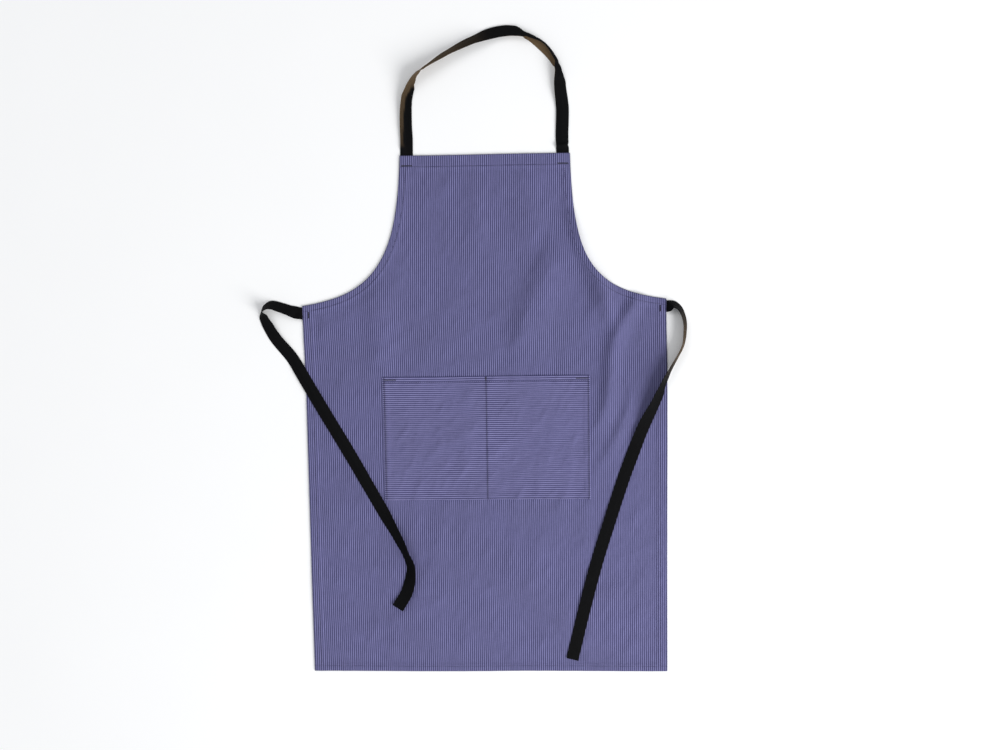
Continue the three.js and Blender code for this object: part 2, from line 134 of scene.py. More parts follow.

# ---- Laid-out tape routes -------------------------------------------------------------

# Neck loop: across as a share of NECK_X, up as a share of LOOP_RISE, bank in degrees (0
# lies flat, 90 stands on its edge, 180 lies with its back up), curl in degrees (how much
# more the tape's left edge banks), where across the tape it curls (-1 right edge, 1 left),
# painted sunlight (how far a painted highlight turns the black tape sun brown where it
# stands on edge) and the share of it that the back shows.
NECK_LOOP = [
    (-1, 0.12, 14, 14, 0.6, 0.3, 1), (-1.01, 0.29, 24, 24, 0.5, 0.45, 1),
    (-1, 0.46, 32, 31, 0.25, 0.5, 1), (-0.965, 0.545, 40, 35, -0.1, 0.55, 1),
    (-0.925, 0.60, 52, 33, -0.5, 0.6, 1), (-0.85, 0.66, 76, 18, -0.7, 0.65, 1),
    (-0.765, 0.706, 106, 10, -0.3, 0.65, 1), (-0.49, 0.815, 124, 6, 0.1, 0.42, 1),
    (-0.16, 0.918, 140, 8, 0.3, 0.15, 1), (0.16, 0.985, 154, 6, -1.4, 0, 0),
    (0.40, 0.998, 92, 68, -1.0, 1, 0), (0.59, 0.972, 90, 70, 0.1, 1, 0),
    (0.79, 0.875, 88, 70, 0.5, 1, 0), (0.94, 0.765, 90, 70, 0.3, 1, 0),
    (0.995, 0.69, 91, 70, -0.25, 1, 0), (0.99, 0.56, 94, 70, -1.1, 0.6, 0),
    (1.02, 0.35, 108, 70, -1.6, 0, 0), (1, 0.12, 110, 70, -1.6, 0, 0),
]
# How sharply the curl turns across the tape.
LIP_TURN = 4.0
# Bank, curl, place of the curl, painted sunlight, share on the back and laid, where a tape is sewn
# in.
FACE_UP, BACK_UP = (0, 0, 0, 0, 0, 0), (180, 0, 0, 0, 0, 0)

# Waist ties: out beyond the side edge, up from the tie's middle, bank and painted sunlight
# (a painted highlight that turns the tape sun brown where it stands on edge).
# The last point of a loop is where its tail folds back.
LEFT_TIE_LOOP = [
    (10, 1, 15, 0), (24, 5, 38, 0), (40, 9, 42, 0), (53, 11, 48, 0), (63, 7, 62, 0),
    (68, 0, 72, 0), (66, -11, 34, 0), (58, -28, 18, 0), (48, -45, 12, 0), (21, -79, 4, 0),
    (-2, -119, 0, 0), (-14, -140, 0, 0),
]
LEFT_TIE_TAIL = [
    (-26, -161, 0, 0), (-63, -225, 0, 0), (-120, -327, 8, 0), (-150, -382, 34, 0),
    (-163, -409, 48, 0), (-171, -432, 40, 0), (-164, -473, 14, 0), (-147, -503, 8, 0),
]
RIGHT_TIE_LOOP = [
    (10, 3, -56, 0), (20, -3, -62, 0), (27, -21, -66, 0.15), (27, -41, -68, 0.35),
    (24, -61, -72, 0.5), (16, -78, -73, 0.4), (4, -99, -68, 0.1), (-7, -122, -58, 0),
    (-17, -148, -38, 0), (-41, -199, -10, 0), (-54, -233, 0, 0), (-62, -255, 0, 0),
]
RIGHT_TIE_TAIL = [
    (-70, -277, 0, 0), (-99, -367, 0, 0), (-118, -431, 0, 0), (-136, -500, 0, 0),
    (-158, -593, 0, 0),
]

# ---- Creases in the cloth -------------------------------------------------------------

# Crest of each crease, its height, and how far it reaches to the left and right of
# someone walking along it.
CREASES = [
    ([(142, 350), (181, 254), (197, 212), (205, 178), (210, 138)], 14.0, 13, 18),
    ([(270, 222), (243, 180), (220, 142), (207, 102), (204, 60), (197, 12), (180, -30)],
     8.0, 14, 10),
    ([(243, 70), (234, 14), (206, -50), (182, -88)], 2.6, 10, 8),
    ([(292, 150), (281, 100), (268, 40)], 1.2, 10, 16),
    ([(124, 298), (94, 222), (66, 150), (50, 96)], 8.0, 34, 22),
    ([(-172, 240), (-173, 150), (-174, 70)], 6.0, 22, 26),
    ([(-10, 416), (-10, 350), (-6, 280)], 2.8, 16, 20),
    ([(80, 418), (76, 345), (62, 270)], 3.2, 16, 26),
    ([(-74, -150), (-84, -215), (-98, -290)], 1.3, 16, 16),
    ([(-286, -70), (-276, -120), (-262, -175)], 1.4, 14, 16),
    ([(-284, -374), (-205, -360), (-138, -334), (-55, -290)], 1.1, 12, 12),
    ([(-60, 190), (-90, 130), (-104, 92)], 1.0, 16, 16),
]

# ---- Small helpers --------------------------------------------------------------------


def smoothstep(low, high, value):
    share = np.clip((np.asarray(value, float) - low) / (high - low), 0, 1)
    return share * share * (3 - 2 * share)


def soft_positive(value):
    """The value where it is well above 0, easing to 0 where it is below."""
    return np.logaddexp(0, 2 * np.asarray(value)) / 2


def bell(value, reach):
    """1 where the value is 0, falling away over a reach on both sides."""
    return np.exp(-(value / reach) ** 2)


def columns(*values):
    return np.stack(np.broadcast_arrays(*values), axis=1)


def step_lengths(line):
    return np.linalg.norm(np.diff(line, axis=0), axis=1)


def lengths_up_to(line):
    """The length of a line of points up to each of its points."""
    return np.concatenate([[0], np.cumsum(step_lengths(line))])


def box_filter(values, reach):
    """The running mean of a list over reach entries either side."""
    padded = np.pad(values, reach, mode="edge")
    return np.convolve(padded, np.ones(2 * reach + 1) / (2 * reach + 1), mode="valid")


def max_filter(values, reach):
    padded = np.pad(values, reach, mode="edge")
    return np.lib.stride_tricks.sliding_window_view(padded, 2 * reach + 1).max(axis=1)


def waves(seed, count, shortest, longest, middle=0.0, spread=math.pi / 2):
    """A smooth random surface of mean 0 and spread about 1, from seeded waves that head
    within a spread of a middle direction."""
    draw = np.random.default_rng(seed)
    length = np.exp(draw.uniform(math.log(shortest), math.log(longest), count))
    heading = middle + spread * draw.uniform(-1, 1, count)
    shift = draw.uniform(0, math.tau, count)

    def surface(x, y):
        total = np.zeros(np.broadcast(x, y).shape)
        for size, turn, start in zip(length, heading, shift):
            run = x * math.cos(turn) + y * math.sin(turn)
            total += np.cos(run * math.tau / size + start)
        return total / math.sqrt(count / 2)

    return surface


RUMPLE_HEADING = math.radians(-32)
# How high the broad, middling and fine rumples of the panel rise, and their surfaces.
RUMPLES = [
    (0.75, waves(11, 14, 110, 260)),
    (0.5, waves(12, 20, 36, 90, RUMPLE_HEADING, 0.7)),
    (0.28, waves(13, 24, 13, 32, RUMPLE_HEADING, 0.5)),
]
POCKET_RUMPLE = waves(14, 14, 30, 90)

# How far to the right the panel lies askew at heights from its bottom to its top, how
# far its bib is stretched and turned, how far its right waist corner is drawn up and its
# left one down, and how wavy it is along its rows.
ASKEW = [(-433, 3.0), (-250, 1.5), (-80, 0.8), (70, 0.0), (135, -1.9), (193, -3.1),
         (240, -2.7), (300, -0.6), (370, 0.9), (433, 1.3)]
LIE_UP = np.linspace(BOTTOM_Y, TOP_Y, 200)
LIE_ACROSS = box_filter(np.interp(LIE_UP, *zip(*ASKEW)), 8)
BIB_STRETCH, BIB_TURN = 1.7, 0.5
WAIST_DRAW, WAIST_DRAW_REACH = 4.2, 100
ROW_WAVE, ROW_WAVE_LENGTH = 0.45, 57


def lie(x, y):
    """Where a place on the flat pattern comes to lie: the panel is laid a little askew."""
    x, y = np.asarray(x, float), np.asarray(y, float)
    bib = smoothstep(WAIST_Y + 40, TOP_Y, y)
    across = np.interp(y, LIE_UP, LIE_ACROSS) + BIB_STRETCH * x / HALF_BIB * bib
    up = WAIST_DRAW * x / HALF_SKIRT * bell(y - WAIST_Y, WAIST_DRAW_REACH)
    up = up + ROW_WAVE * np.sin(x / ROW_WAVE_LENGTH) + BIB_TURN * x / HALF_BIB * bib
    return x + across, y + up


def unlie(x, y):
    """The place on the flat pattern that comes to lie at a place, nearly."""
    moved_x, moved_y = lie(x, y)
    return 2 * x - moved_x, 2 * y - moved_y


# ---- The cloth panel's shape ----------------------------------------------------------


def armhole_at(share):
    """Places on the right-hand armhole and the way it runs there, bib corner first."""
    t = np.asarray(share, float)[:, None]
    a, b, c, d = ARMHOLE
    place = (1 - t) ** 3 * a + 3 * t * (1 - t) ** 2 * b + 3 * t * t * (1 - t) * c + t ** 3 * d
    run = (1 - t) ** 2 * (b - a) + 2 * t * (1 - t) * (c - b) + t * t * (d - c)
    return place, run / np.linalg.norm(run, axis=1)[:, None]


ARMHOLE_LINE = armhole_at(np.linspace(0, 1, 161))[0]
ARMHOLE_LENGTH = step_lengths(ARMHOLE_LINE).sum()


def near_line(line, x, y):
    """Distance to a line of points, which side of it, and the share of its length."""
    before = lengths_up_to(line)
    gap = np.full(len(x), np.inf)
    side, along = np.zeros((2, len(x)))
    for (sx, sy), (dx, dy), size, passed in zip(
            line, np.diff(line, axis=0), step_lengths(line), before):
        px, py = x - sx, y - sy
        t = np.clip((px * dx + py * dy) / size ** 2, 0, 1)
        near = np.hypot(px - t * dx, py - t * dy)
        closer = near < gap
        gap[closer] = near[closer]
        side[closer] = np.sign(dx * py - dy * px)[closer]
        along[closer] = ((passed + t * size) / before[-1])[closer]
    return gap, side, along


def edge_gaps(x, y):
    """How far places lie inside the side, bottom, bib and armhole edges."""
    across = np.abs(x)
    side = np.hypot(HALF_SKIRT - across, np.maximum(y - WAIST_Y, 0))
    bottom = y - BOTTOM_Y
    bib = np.hypot(TOP_Y - y, np.maximum(across - HALF_BIB, 0))
    armhole = np.full(len(x), 1000.0)
    close = (y > WAIST_Y - 60) & (across > HALF_BIB - 60)
    if close.any():
        armhole[close] = near_line(ARMHOLE_LINE, across[close], y[close])[0]
    return np.stack([side, bottom, bib, armhole])


def spline_at(points, stations):
    """A centripetal Catmull-Rom spline at station numbers."""
    points = np.asarray(points, float)
    padded = np.vstack([2 * points[0] - points[1], points, 2 * points[-1] - points[-2]])
    index = np.clip(np.floor(stations).astype(int), 0, len(points) - 2)
    t = (stations - index)[:, None]
    p0, p1, p2, p3 = (padded[index + k] for k in range(4))

    def knot(a, b):
        return np.sqrt(np.linalg.norm(b - a, axis=1))[:, None]

    d0, d1, d2 = knot(p0, p1), knot(p1, p2), knot(p2, p3)
    out = ((p1 - p0) / d0 - (p2 - p0) / (d0 + d1) + (p2 - p1) / d1) * d1
    into = ((p2 - p1) / d1 - (p3 - p1) / (d1 + d2) + (p3 - p2) / d2) * d1
    return (p1 + out * t + (3 * (p2 - p1) - 2 * out - into) * t ** 2
            + (2 * (p1 - p2) + out + into) * t ** 3)


def crease_lift(x, y):
    """How far the creases lift the cloth."""
    total = np.zeros(len(x))
    for points, height, left, right in CREASES:
        crest = spline_at(points, np.linspace(0, len(points) - 1, 28))
        gap, side, along = near_line(crest, x, y)
        reach = np.where(side > 0, left, right)
        taper = smoothstep(-0.05, 0.25, along) * (1 - smoothstep(0.72, 1.05, along))
        total += height * taper * bell(gap, reach)
    return total


def cloth_lift(x, y, inset, rumple):
    """How far the cloth stands off the table. The hems calm it near the edges."""
    calm = 0.3 + 0.7 * smoothstep(0, 55, inset)
    loose = sum(lift * soft_positive(surface(x, y)) for lift, surface in RUMPLES)
    held = 0.75 + 0.25 * smoothstep(0, 24, inset)
    return rumple * (calm * loose + held * crease_lift(x, y))


def over_tape(x, y):
    """1 where a sewn tape end lies inside the hem, 0 away from it."""
    across = np.abs(x)
    half, ease = TAPE_WIDTH / 2, 2.5
    neck = ((1 - smoothstep(half, half + ease, np.abs(across - NECK_X)))
            * smoothstep(TOP_Y - NECK_SEWN_IN - ease, TOP_Y - NECK_SEWN_IN, y))
    tie = ((1 - smoothstep(half, half + ease, np.abs(y - TIE_Y)))
           * smoothstep(HALF_SKIRT - TIE_SEWN_IN - ease, HALF_SKIRT - TIE_SEWN_IN, across))
    return np.maximum(neck, tie)


def hem_pucker(x, y, past_hem):
    """Small waves that the hem stitches draw up in the cloth beside them."""
    run = np.sin(x / 2.9 + 1.4 * np.sin(x / 23)) + np.sin(y / 2.6 + 1.7 * np.sin(y / 31))
    return 0.1 * bell(past_hem - 1.5, 4.5) * (run + 1.2)


def round_edges(under, face, roundness):
    """The two heights of a sheet, brought together where its roundness falls to 0."""
    turn = np.clip(1 - roundness, 0, 1)
    middle, half = (face + under) / 2, (face - under) / 2 * np.sqrt(1 - turn ** 2)
    return middle - half, middle + half


def cloth_heights(x, y, rumple):
    """The underside and the face of the cloth panel."""
    gaps = edge_gaps(x, y)
    inset = gaps.min(axis=0)
    past_hem = (gaps - HEM_DEPTHS[:, None]).min(axis=0)
    lift = cloth_lift(x, y, inset, rumple) + hem_pucker(x, y, past_hem)
    turned = PLY * HEM_TURNS
    face = lift + PLY + turned * (1 - smoothstep(-0.8, HEM_SLOPE, past_hem))
    face -= STITCH_DENT * bell(past_hem + HEM_STITCH_MARGIN, 1.1)
    under = lift + turned * smoothstep(-0.6, 0, past_hem) * (
        1 - smoothstep(0.3, HEM_SLOPE, past_hem))
    tape = over_tape(x, y)
    face += TAPE_SWELL * tape
    under += TAPE_ROOM * tape
    return round_edges(under, face, inset / FOLD_ROUNDING)


def offset_lines(depth):
    """Distances from an edge at which a hem of that depth needs a row of points."""
    rows = [0.15, 0.45, 0.9, 2.0, 4.0]
    gap = depth - 4 - rows[-1]
    rows += [4.0 + gap * k / 3 for k in (1, 2)] if gap > 5 else []
    rows += [depth + k for k in (-4, -2.8, -2, -1.2, -0.5, 0.1, 1.1, 2.6, 4.6)]
    return rows


def panel_points():
    """Places on the flat panel, close together at its hems, and its outline."""
    step = 3.2

    def spaced(a, b, extra=()):
        count = round(abs(b - a) / step)
        return np.unique(np.concatenate([np.linspace(a, b, count + 1), extra]))

    ease = np.arange(9.5, 13.5, 0.8)
    neck = [s * NECK_X + k * e for s in (-1, 1) for k in (-1, 1) for e in ease]
    neck = [v for v in neck if abs(v) < HALF_BIB - 0.3]
    tie = [TIE_Y + k * e for k in (-1, 1) for e in ease if TIE_Y + k * e < WAIST_Y - 0.3]
    bib_x = spaced(-HALF_BIB, HALF_BIB, neck)
    side_y = spaced(BOTTOM_Y, WAIST_Y, tie)
    bottom_x = spaced(-HALF_SKIRT, HALF_SKIRT)
    arm, run = armhole_at(np.linspace(0, 1, round(ARMHOLE_LENGTH / step) + 1))
    flip = np.array([-1, 1])

    right, left = columns(HALF_SKIRT, side_y), columns(-HALF_SKIRT, side_y)
    bottom, bib = columns(bottom_x, BOTTOM_Y), columns(bib_x, TOP_Y)
    inward_arm = columns(run[:, 1], -run[:, 0])
    edges = [
        (0, right, np.array((-1, 0))),
        (0, left, np.array((1, 0))),
        (1, bottom, np.array((0, 1))),
        (2, bib, np.array((0, -1))),
        (3, arm, inward_arm),
        (3, arm * flip, inward_arm * flip),
    ]
    outline = np.vstack([
        side[:-1] for side in (bottom, right, arm[::-1], bib[::-1], arm * flip, left[::-1])])
    inner = []
    for hem, place, inward in edges:
        for depth in offset_lines(HEM_DEPTHS[hem]):
            moved = place + inward * depth
            gaps = edge_gaps(moved[:, 0], moved[:, 1])
            gaps[hem] = np.where(gaps[hem] < depth - 0.05, -1, 1000)
            inner.append(moved[gaps.min(axis=0) / depth > 1.0])
    grid = 4.3
    ys = np.arange(BOTTOM_Y, TOP_Y, grid * 0.87)
    gx, gy = np.meshgrid(np.arange(-HALF_SKIRT, HALF_SKIRT, grid), ys)
    gx = gx + grid / 2 * (np.arange(len(ys)) % 2)[:, None]
    gx, gy = gx.ravel(), gy.ravel()
    keep = (np.abs(gx) < HALF_BIB + 2) | (gy < WAIST_Y + 100)
    gx, gy = gx[keep], gy[keep]
    inside = (edge_gaps(gx, gy) - HEM_DEPTHS[:, None]).min(axis=0) > 7.0
    inside &= ~outside_armhole(gx, gy)
    inner.append(columns(gx[inside], gy[inside]))
    return outline, np.vstack(inner)


def outside_armhole(x, y):
    """Whether places lie beyond the armhole curve."""
    edge = np.interp(y, ARMHOLE_LINE[::-1, 1], ARMHOLE_LINE[::-1, 0])
    return (y > WAIST_Y) & (np.abs(x) > edge)


# ---- The pocket's shape ---------------------------------------------------------------


def pocket_gape(x, y, opening):
    """How far the pocket cloth stands off the panel."""
    centre = HALF_POCKET / 2
    across = (np.abs(x) - centre) / (centre - POCKET_SEAM)
    down = (POCKET_MOUTH_Y - y) / (POCKET_MOUTH_Y - POCKET_BOTTOM_Y - POCKET_SEAM)
    swell = np.clip(1 - across ** 2, 0, 1) * np.clip(1 - np.clip(down, 0, 1) ** 2.2, 0, 1)
    uneven = 1 + 0.22 * np.sin(x / 47 + 0.8) + 0.12 * np.sin(x / 19 + y / 60)
    ripples = 0.24 * soft_positive(POCKET_RUMPLE(x, y)) * np.clip(swell * 3, 0, 1)
    return opening * swell * uneven + ripples


def pocket_insets(x, y):
    """How far places lie inside the pocket's sides, bottom and mouth."""
    return HALF_POCKET - np.abs(x), y - POCKET_BOTTOM_Y, POCKET_MOUTH_Y - y


def pocket_heights(x, y, rumple, opening):
    """The underside and the face of the pocket."""
    seat = cloth_heights(x, y, rumple)[1]
    side, bottom, mouth = pocket_insets(x, y)
    sewn = np.minimum(side, bottom)
    turned = PLY * (1 - smoothstep(-0.5, 2.5, sewn - POCKET_TURNING))
    hemmed = PRESSED_HEM * (1 - smoothstep(-0.5, 3, mouth - POCKET_MOUTH_HEM))
    under = seat + POCKET_CLEARANCE + pocket_gape(x, y, opening)
    face = under + PLY + np.maximum(turned, hemmed)
    seam = sewn - POCKET_STITCH_INSET
    face -= 0.28 * bell(seam, 1.0)
    face -= 0.15 * bell(mouth - POCKET_MOUTH_STITCH, 1.0)
    face -= STITCH_DENT * bell(x, 1.2)
    pull = np.sin(y / 2.4 + 1.3 * np.sin(y / 17)) + np.sin(x / 2.5 + 1.2 * np.sin(x / 21))
    face += 0.05 * bell(np.minimum(np.abs(seam), np.abs(x)) - 2.5, 2.5) * pull
    return round_edges(under, face, np.minimum(sewn / 0.6, mouth / 1.6))


def pocket_grid():
    """Places on the flat pocket with its border first, its quads, and the border's count."""
    edge = [0, 0.1, 0.3, 0.6, 1.1, 1.6, 2.0, 2.4, 3.1, 4.2, 6, 8.4, 9.6, 11, 13]
    mouth = [0, 0.1, 0.3, 0.6, 1.4, 3, 5, 7, 8, 8.6, 9, 9.4, 10, 11, 12, 13.2, 14.6, 17]
    near_middle = [-3.0, -1.8, -1.0, -0.5, 0, 0.5, 1.0, 1.8, 3.0]
    inner = np.linspace(-HALF_POCKET + 13, -3, 72)[1:-1]
    left = np.array([-HALF_POCKET + e for e in edge])
    xs = np.array([*left, *inner, *near_middle, *-inner[::-1], *-left[::-1]])
    low = [POCKET_BOTTOM_Y + e for e in edge]
    high = [POCKET_MOUTH_Y - e for e in mouth[::-1]]
    ys = np.array([*low, *np.linspace(low[-1], high[0], 74)[1:-1], *high])
    gx, gy = np.meshgrid(xs, ys)
    number = np.arange(gx.size).reshape(gx.shape)
    border = np.concatenate([
        number[0, :-1], number[:-1, -1], number[-1, :0:-1], number[:0:-1, 0]])
    order = np.concatenate([border, np.setdiff1d(number.ravel(), border)])
    place_of = np.empty(gx.size, int)
    place_of[order] = np.arange(gx.size)
    quads = place_of[np.stack([
        number[:-1, :-1], number[:-1, 1:], number[1:, 1:], number[1:, :-1],
    ], axis=2).reshape(-1, 4)]
    return columns(gx.ravel(), gy.ravel())[order], quads, len(border)


# ---- Tapes ----------------------------------------------------------------------------


def tape_support(x, y, rumple):
    """The top of what a tape lies on: the table or the cloth."""
    flat_x, flat_y = unlie(x, y)
    on_cloth = ((np.abs(flat_x) < HALF_SKIRT) & (flat_y < WAIST_Y) & (flat_y > BOTTOM_Y))
    height = np.zeros(len(x))
    if on_cloth.any():
        height[on_cloth] = cloth_heights(flat_x[on_cloth], flat_y[on_cloth], rumple)[1]
    return height


def ease_between(values, stations):
    """Values at station numbers, easing from one station to the next."""
    values = np.asarray(values, float)
    index = np.clip(np.floor(stations).astype(int), 0, len(values) - 2)
    share = smoothstep(0, 1, stations - index)
    return values[index] + (values[index + 1] - values[index]) * share


def along_tape(stations):
    """Evenly spaced places along a tape's middle, and its stations' values there."""
    fine = np.linspace(0, len(stations) - 1, (len(stations) - 1) * 60 + 1)
    lengths = lengths_up_to(spline_at(stations[:, :2], fine))
    along = np.linspace(0, lengths[-1], round(lengths[-1] / TAPE_ROW_STEP) + 1)
    number = np.interp(along, lengths, fine)
    centre = spline_at(stations[:, :2], number)
    values = [ease_between(stations[:, column], number)[:, None] for column in range(2, 8)]
    return along, centre, values


def sum_across(steps):
    """Running sums of steps across the tape, counted from its middle."""
    total = np.concatenate([np.zeros((len(steps), 1)), np.cumsum(steps, axis=1)], axis=1)
    middle = steps.shape[1] // 2
    return total - total[:, middle:middle + 1]


def lay_tape(stations, rumple, sewn_ends, seed):
    """Rings of points round a laid-out tape, its flat layout and its painted sunlight.

    A station is x, y, bank, curl, the place of the curl, painted sunlight (a painted
    highlight that turns the black tape sun brown where it stands on edge), the share of it
    that the tape's back shows, and laid, which is 0 where the tape runs inside a hem and
    1 where it lies on whatever is below it.
    """
    along, centre, (bank, curl, lip, warmth, back, laid) = along_tape(
        np.asarray(stations, float))
    run = np.gradient(centre, axis=0)
    run /= np.linalg.norm(run, axis=1)[:, None]
    left = columns(-run[:, 1], run[:, 0])

    # The sewn ends go with the cloth that holds them.
    moved = columns(*lie(centre[:, 0], centre[:, 1])) - centre
    hold = np.zeros(len(along))
    for end in sewn_ends:
        hold = np.maximum(hold, 1 - smoothstep(*HELD_REACH, np.abs(along - end * along[-1])))
    centre = centre + moved * hold[:, None]

    share = np.sin(np.linspace(-1, 1, TAPE_COLUMNS) * math.pi / 2)
    turned_up = np.tanh(LIP_TURN * (share[None, :] - lip)) / np.tanh(LIP_TURN * (1 - lip))
    tilt = np.radians(bank + curl * turned_up)
    steps = np.diff(share) * TAPE_WIDTH / 2
    mean_tilt = (tilt[:, 1:] + tilt[:, :-1]) / 2
    level = sum_across(np.cos(mean_tilt) * steps)
    height = sum_across(np.sin(mean_tilt) * steps)

    # Each row lies on the highest spot below it, looked for a little beyond its edges.
    under_x = centre[:, 0:1] + left[:, 0:1] * level * 1.15
    under_y = centre[:, 1:2] + left[:, 1:2] * level * 1.15
    support = tape_support(under_x.ravel(), under_y.ravel(), rumple).reshape(level.shape)
    support *= np.round(laid)
    half_thick = TAPE_THICKNESS / 2
    under = box_filter(max_filter(support.max(axis=1), 5), 5)
    hang = (half_thick * np.abs(np.cos(tilt)) - height).max(axis=1)
    wander = waves(seed, 6, 60, 160)(along, 0 * along)
    rest = under + hang + laid[:, 0] * (TAPE_CLEARANCE + TAPE_LIFT * soft_positive(wander))

    # Thinner towards the edges, with a bead of selvage at each.
    thick = half_thick * (0.86 + 0.14 * np.abs(share) ** 6)
    tip = half_thick * 0.8
    across, up, place, painted_sun_brown = [], [], [], []
    for side in (1, -1):
        out, slope = (side * thick)[::side], tilt[:, ::side]
        edge = slope[:, -1:]
        across += [level[:, ::side] - out * np.sin(slope),
                   level[:, ::side][:, -1:] + side * tip * np.cos(edge)]
        up += [height[:, ::side] + out * np.cos(slope),
               height[:, ::side][:, -1:] + side * tip * np.sin(edge)]
        place += [np.broadcast_to(share[::side], slope.shape),
                  np.full((len(along), 1), float(side))]
        # Painted highlight: the tape is coloured sun brown where it stands on edge.
        turned = smoothstep(*PAINTED_SUN_TILTS, np.degrees(np.abs(slope)))
        shown = warmth * turned * (1.0 if side > 0 else back)
        painted_sun_brown += [shown, shown[:, -1:]]
    across, up, place, painted_sun_brown = (
        np.concatenate(parts, axis=1) for parts in (across, up, place, painted_sun_brown))
    points = np.stack([
        centre[:, 0:1] + left[:, 0:1] * across,
        centre[:, 1:2] + left[:, 1:2] * across,
        rest[:, None] + up,
    ], axis=2)
    layout = np.stack(np.broadcast_arrays(along[:, None], place * TAPE_WIDTH / 2), axis=2)
    return points, layout, painted_sun_brown, along[-1]


def tube_faces(rings, around):
    """Quads round a tube of rings, and a face at each end."""
    start = (np.arange(rings - 1) * around)[:, None]
    here = np.arange(around)[None, :]
    after = (here + 1) % around
    quads = np.stack([start + here, start + after,
                      start + around + after, start + around + here], axis=2).reshape(-1, 4)
    faces = quads.tolist()
    faces.append(list(range(around))[::-1])
    faces.append([(rings - 1) * around + k for k in range(around)])
    return faces


def neck_stations():
    low = TOP_Y - NECK_SEWN_IN
    return [
        (-NECK_X, low, *FACE_UP),
        (-NECK_X, TOP_Y + 6, *FACE_UP),
        *[(a * NECK_X, TOP_Y + u * LOOP_RISE, *turns, 1) for a, u, *turns in NECK_LOOP],
        (NECK_X, TOP_Y + 6, *BACK_UP),
        (NECK_X, low, *BACK_UP),
    ]


def tie_stations(side, loop, tail):
    return [
        (side * (HALF_SKIRT - TIE_SEWN_IN), TIE_Y, *FACE_UP),
        (side * HALF_SKIRT, TIE_Y, *FACE_UP),
        (side * (HALF_SKIRT + 2), TIE_Y, -22 * side, 0, 0, 0, 0, 0),
        *[(side * (HALF_SKIRT + out), TIE_Y + up, bank, 0, 0, warmth, 1, 1)
          for out, up, bank, warmth in loop + tail],
    ]


# ---- Making pieces --------------------------------------------------------------------


def clear_selection():
    for piece in bpy.context.selected_objects:
        piece.select_set(False)
    bpy.context.view_layer.objects.active = None


def new_piece(name, points, faces, material, layout, **shades):
    """A smooth closed mesh from points, with its flat layout as a UV map."""
    mesh = bpy.data.meshes.new(name)
    mesh.from_pydata((np.asarray(points, float) * MM).tolist(), [], faces)
    shell = bmesh.new()
    shell.from_mesh(mesh)
    bmesh.ops.recalc_face_normals(shell, faces=shell.faces)
    shell.to_mesh(mesh)
    shell.free()
    mesh.shade_smooth()
    corner = np.zeros(len(mesh.loops), int)
    mesh.loops.foreach_get("vertex_index", corner)
    flat = mesh.uv_layers.new(name="lay")
    flat.data.foreach_set("uv", (np.asarray(layout, float)[corner] * MM).ravel())
    for shade, values in shades.items():
        attribute = mesh.attributes.new(shade, "FLOAT", "POINT")
        attribute.data.foreach_set("value", np.asarray(values, np.float32).ravel())
    mesh.materials.append(material)
    piece = bpy.data.objects.new(name, mesh)
    bpy.context.scene.collection.objects.link(piece)
    return piece


def double_sided(outline_count, places, triangles, heights):
    """Points and faces of a sheet whose two sides meet along its outline."""
    under, face = heights
    x, y = lie(places[:, 0], places[:, 1])
    low = columns(x, y, under)[outline_count:]
    points = np.vstack([columns(x, y, face), low])
    shifted = np.where(triangles >= outline_count, triangles + len(low), triangles)
    faces = triangles.tolist() + shifted[:, ::-1].tolist()
    layout = np.vstack([places, places[outline_count:]])
    return points, faces, layout


# ---- Materials ------------------------------------------------------------------------


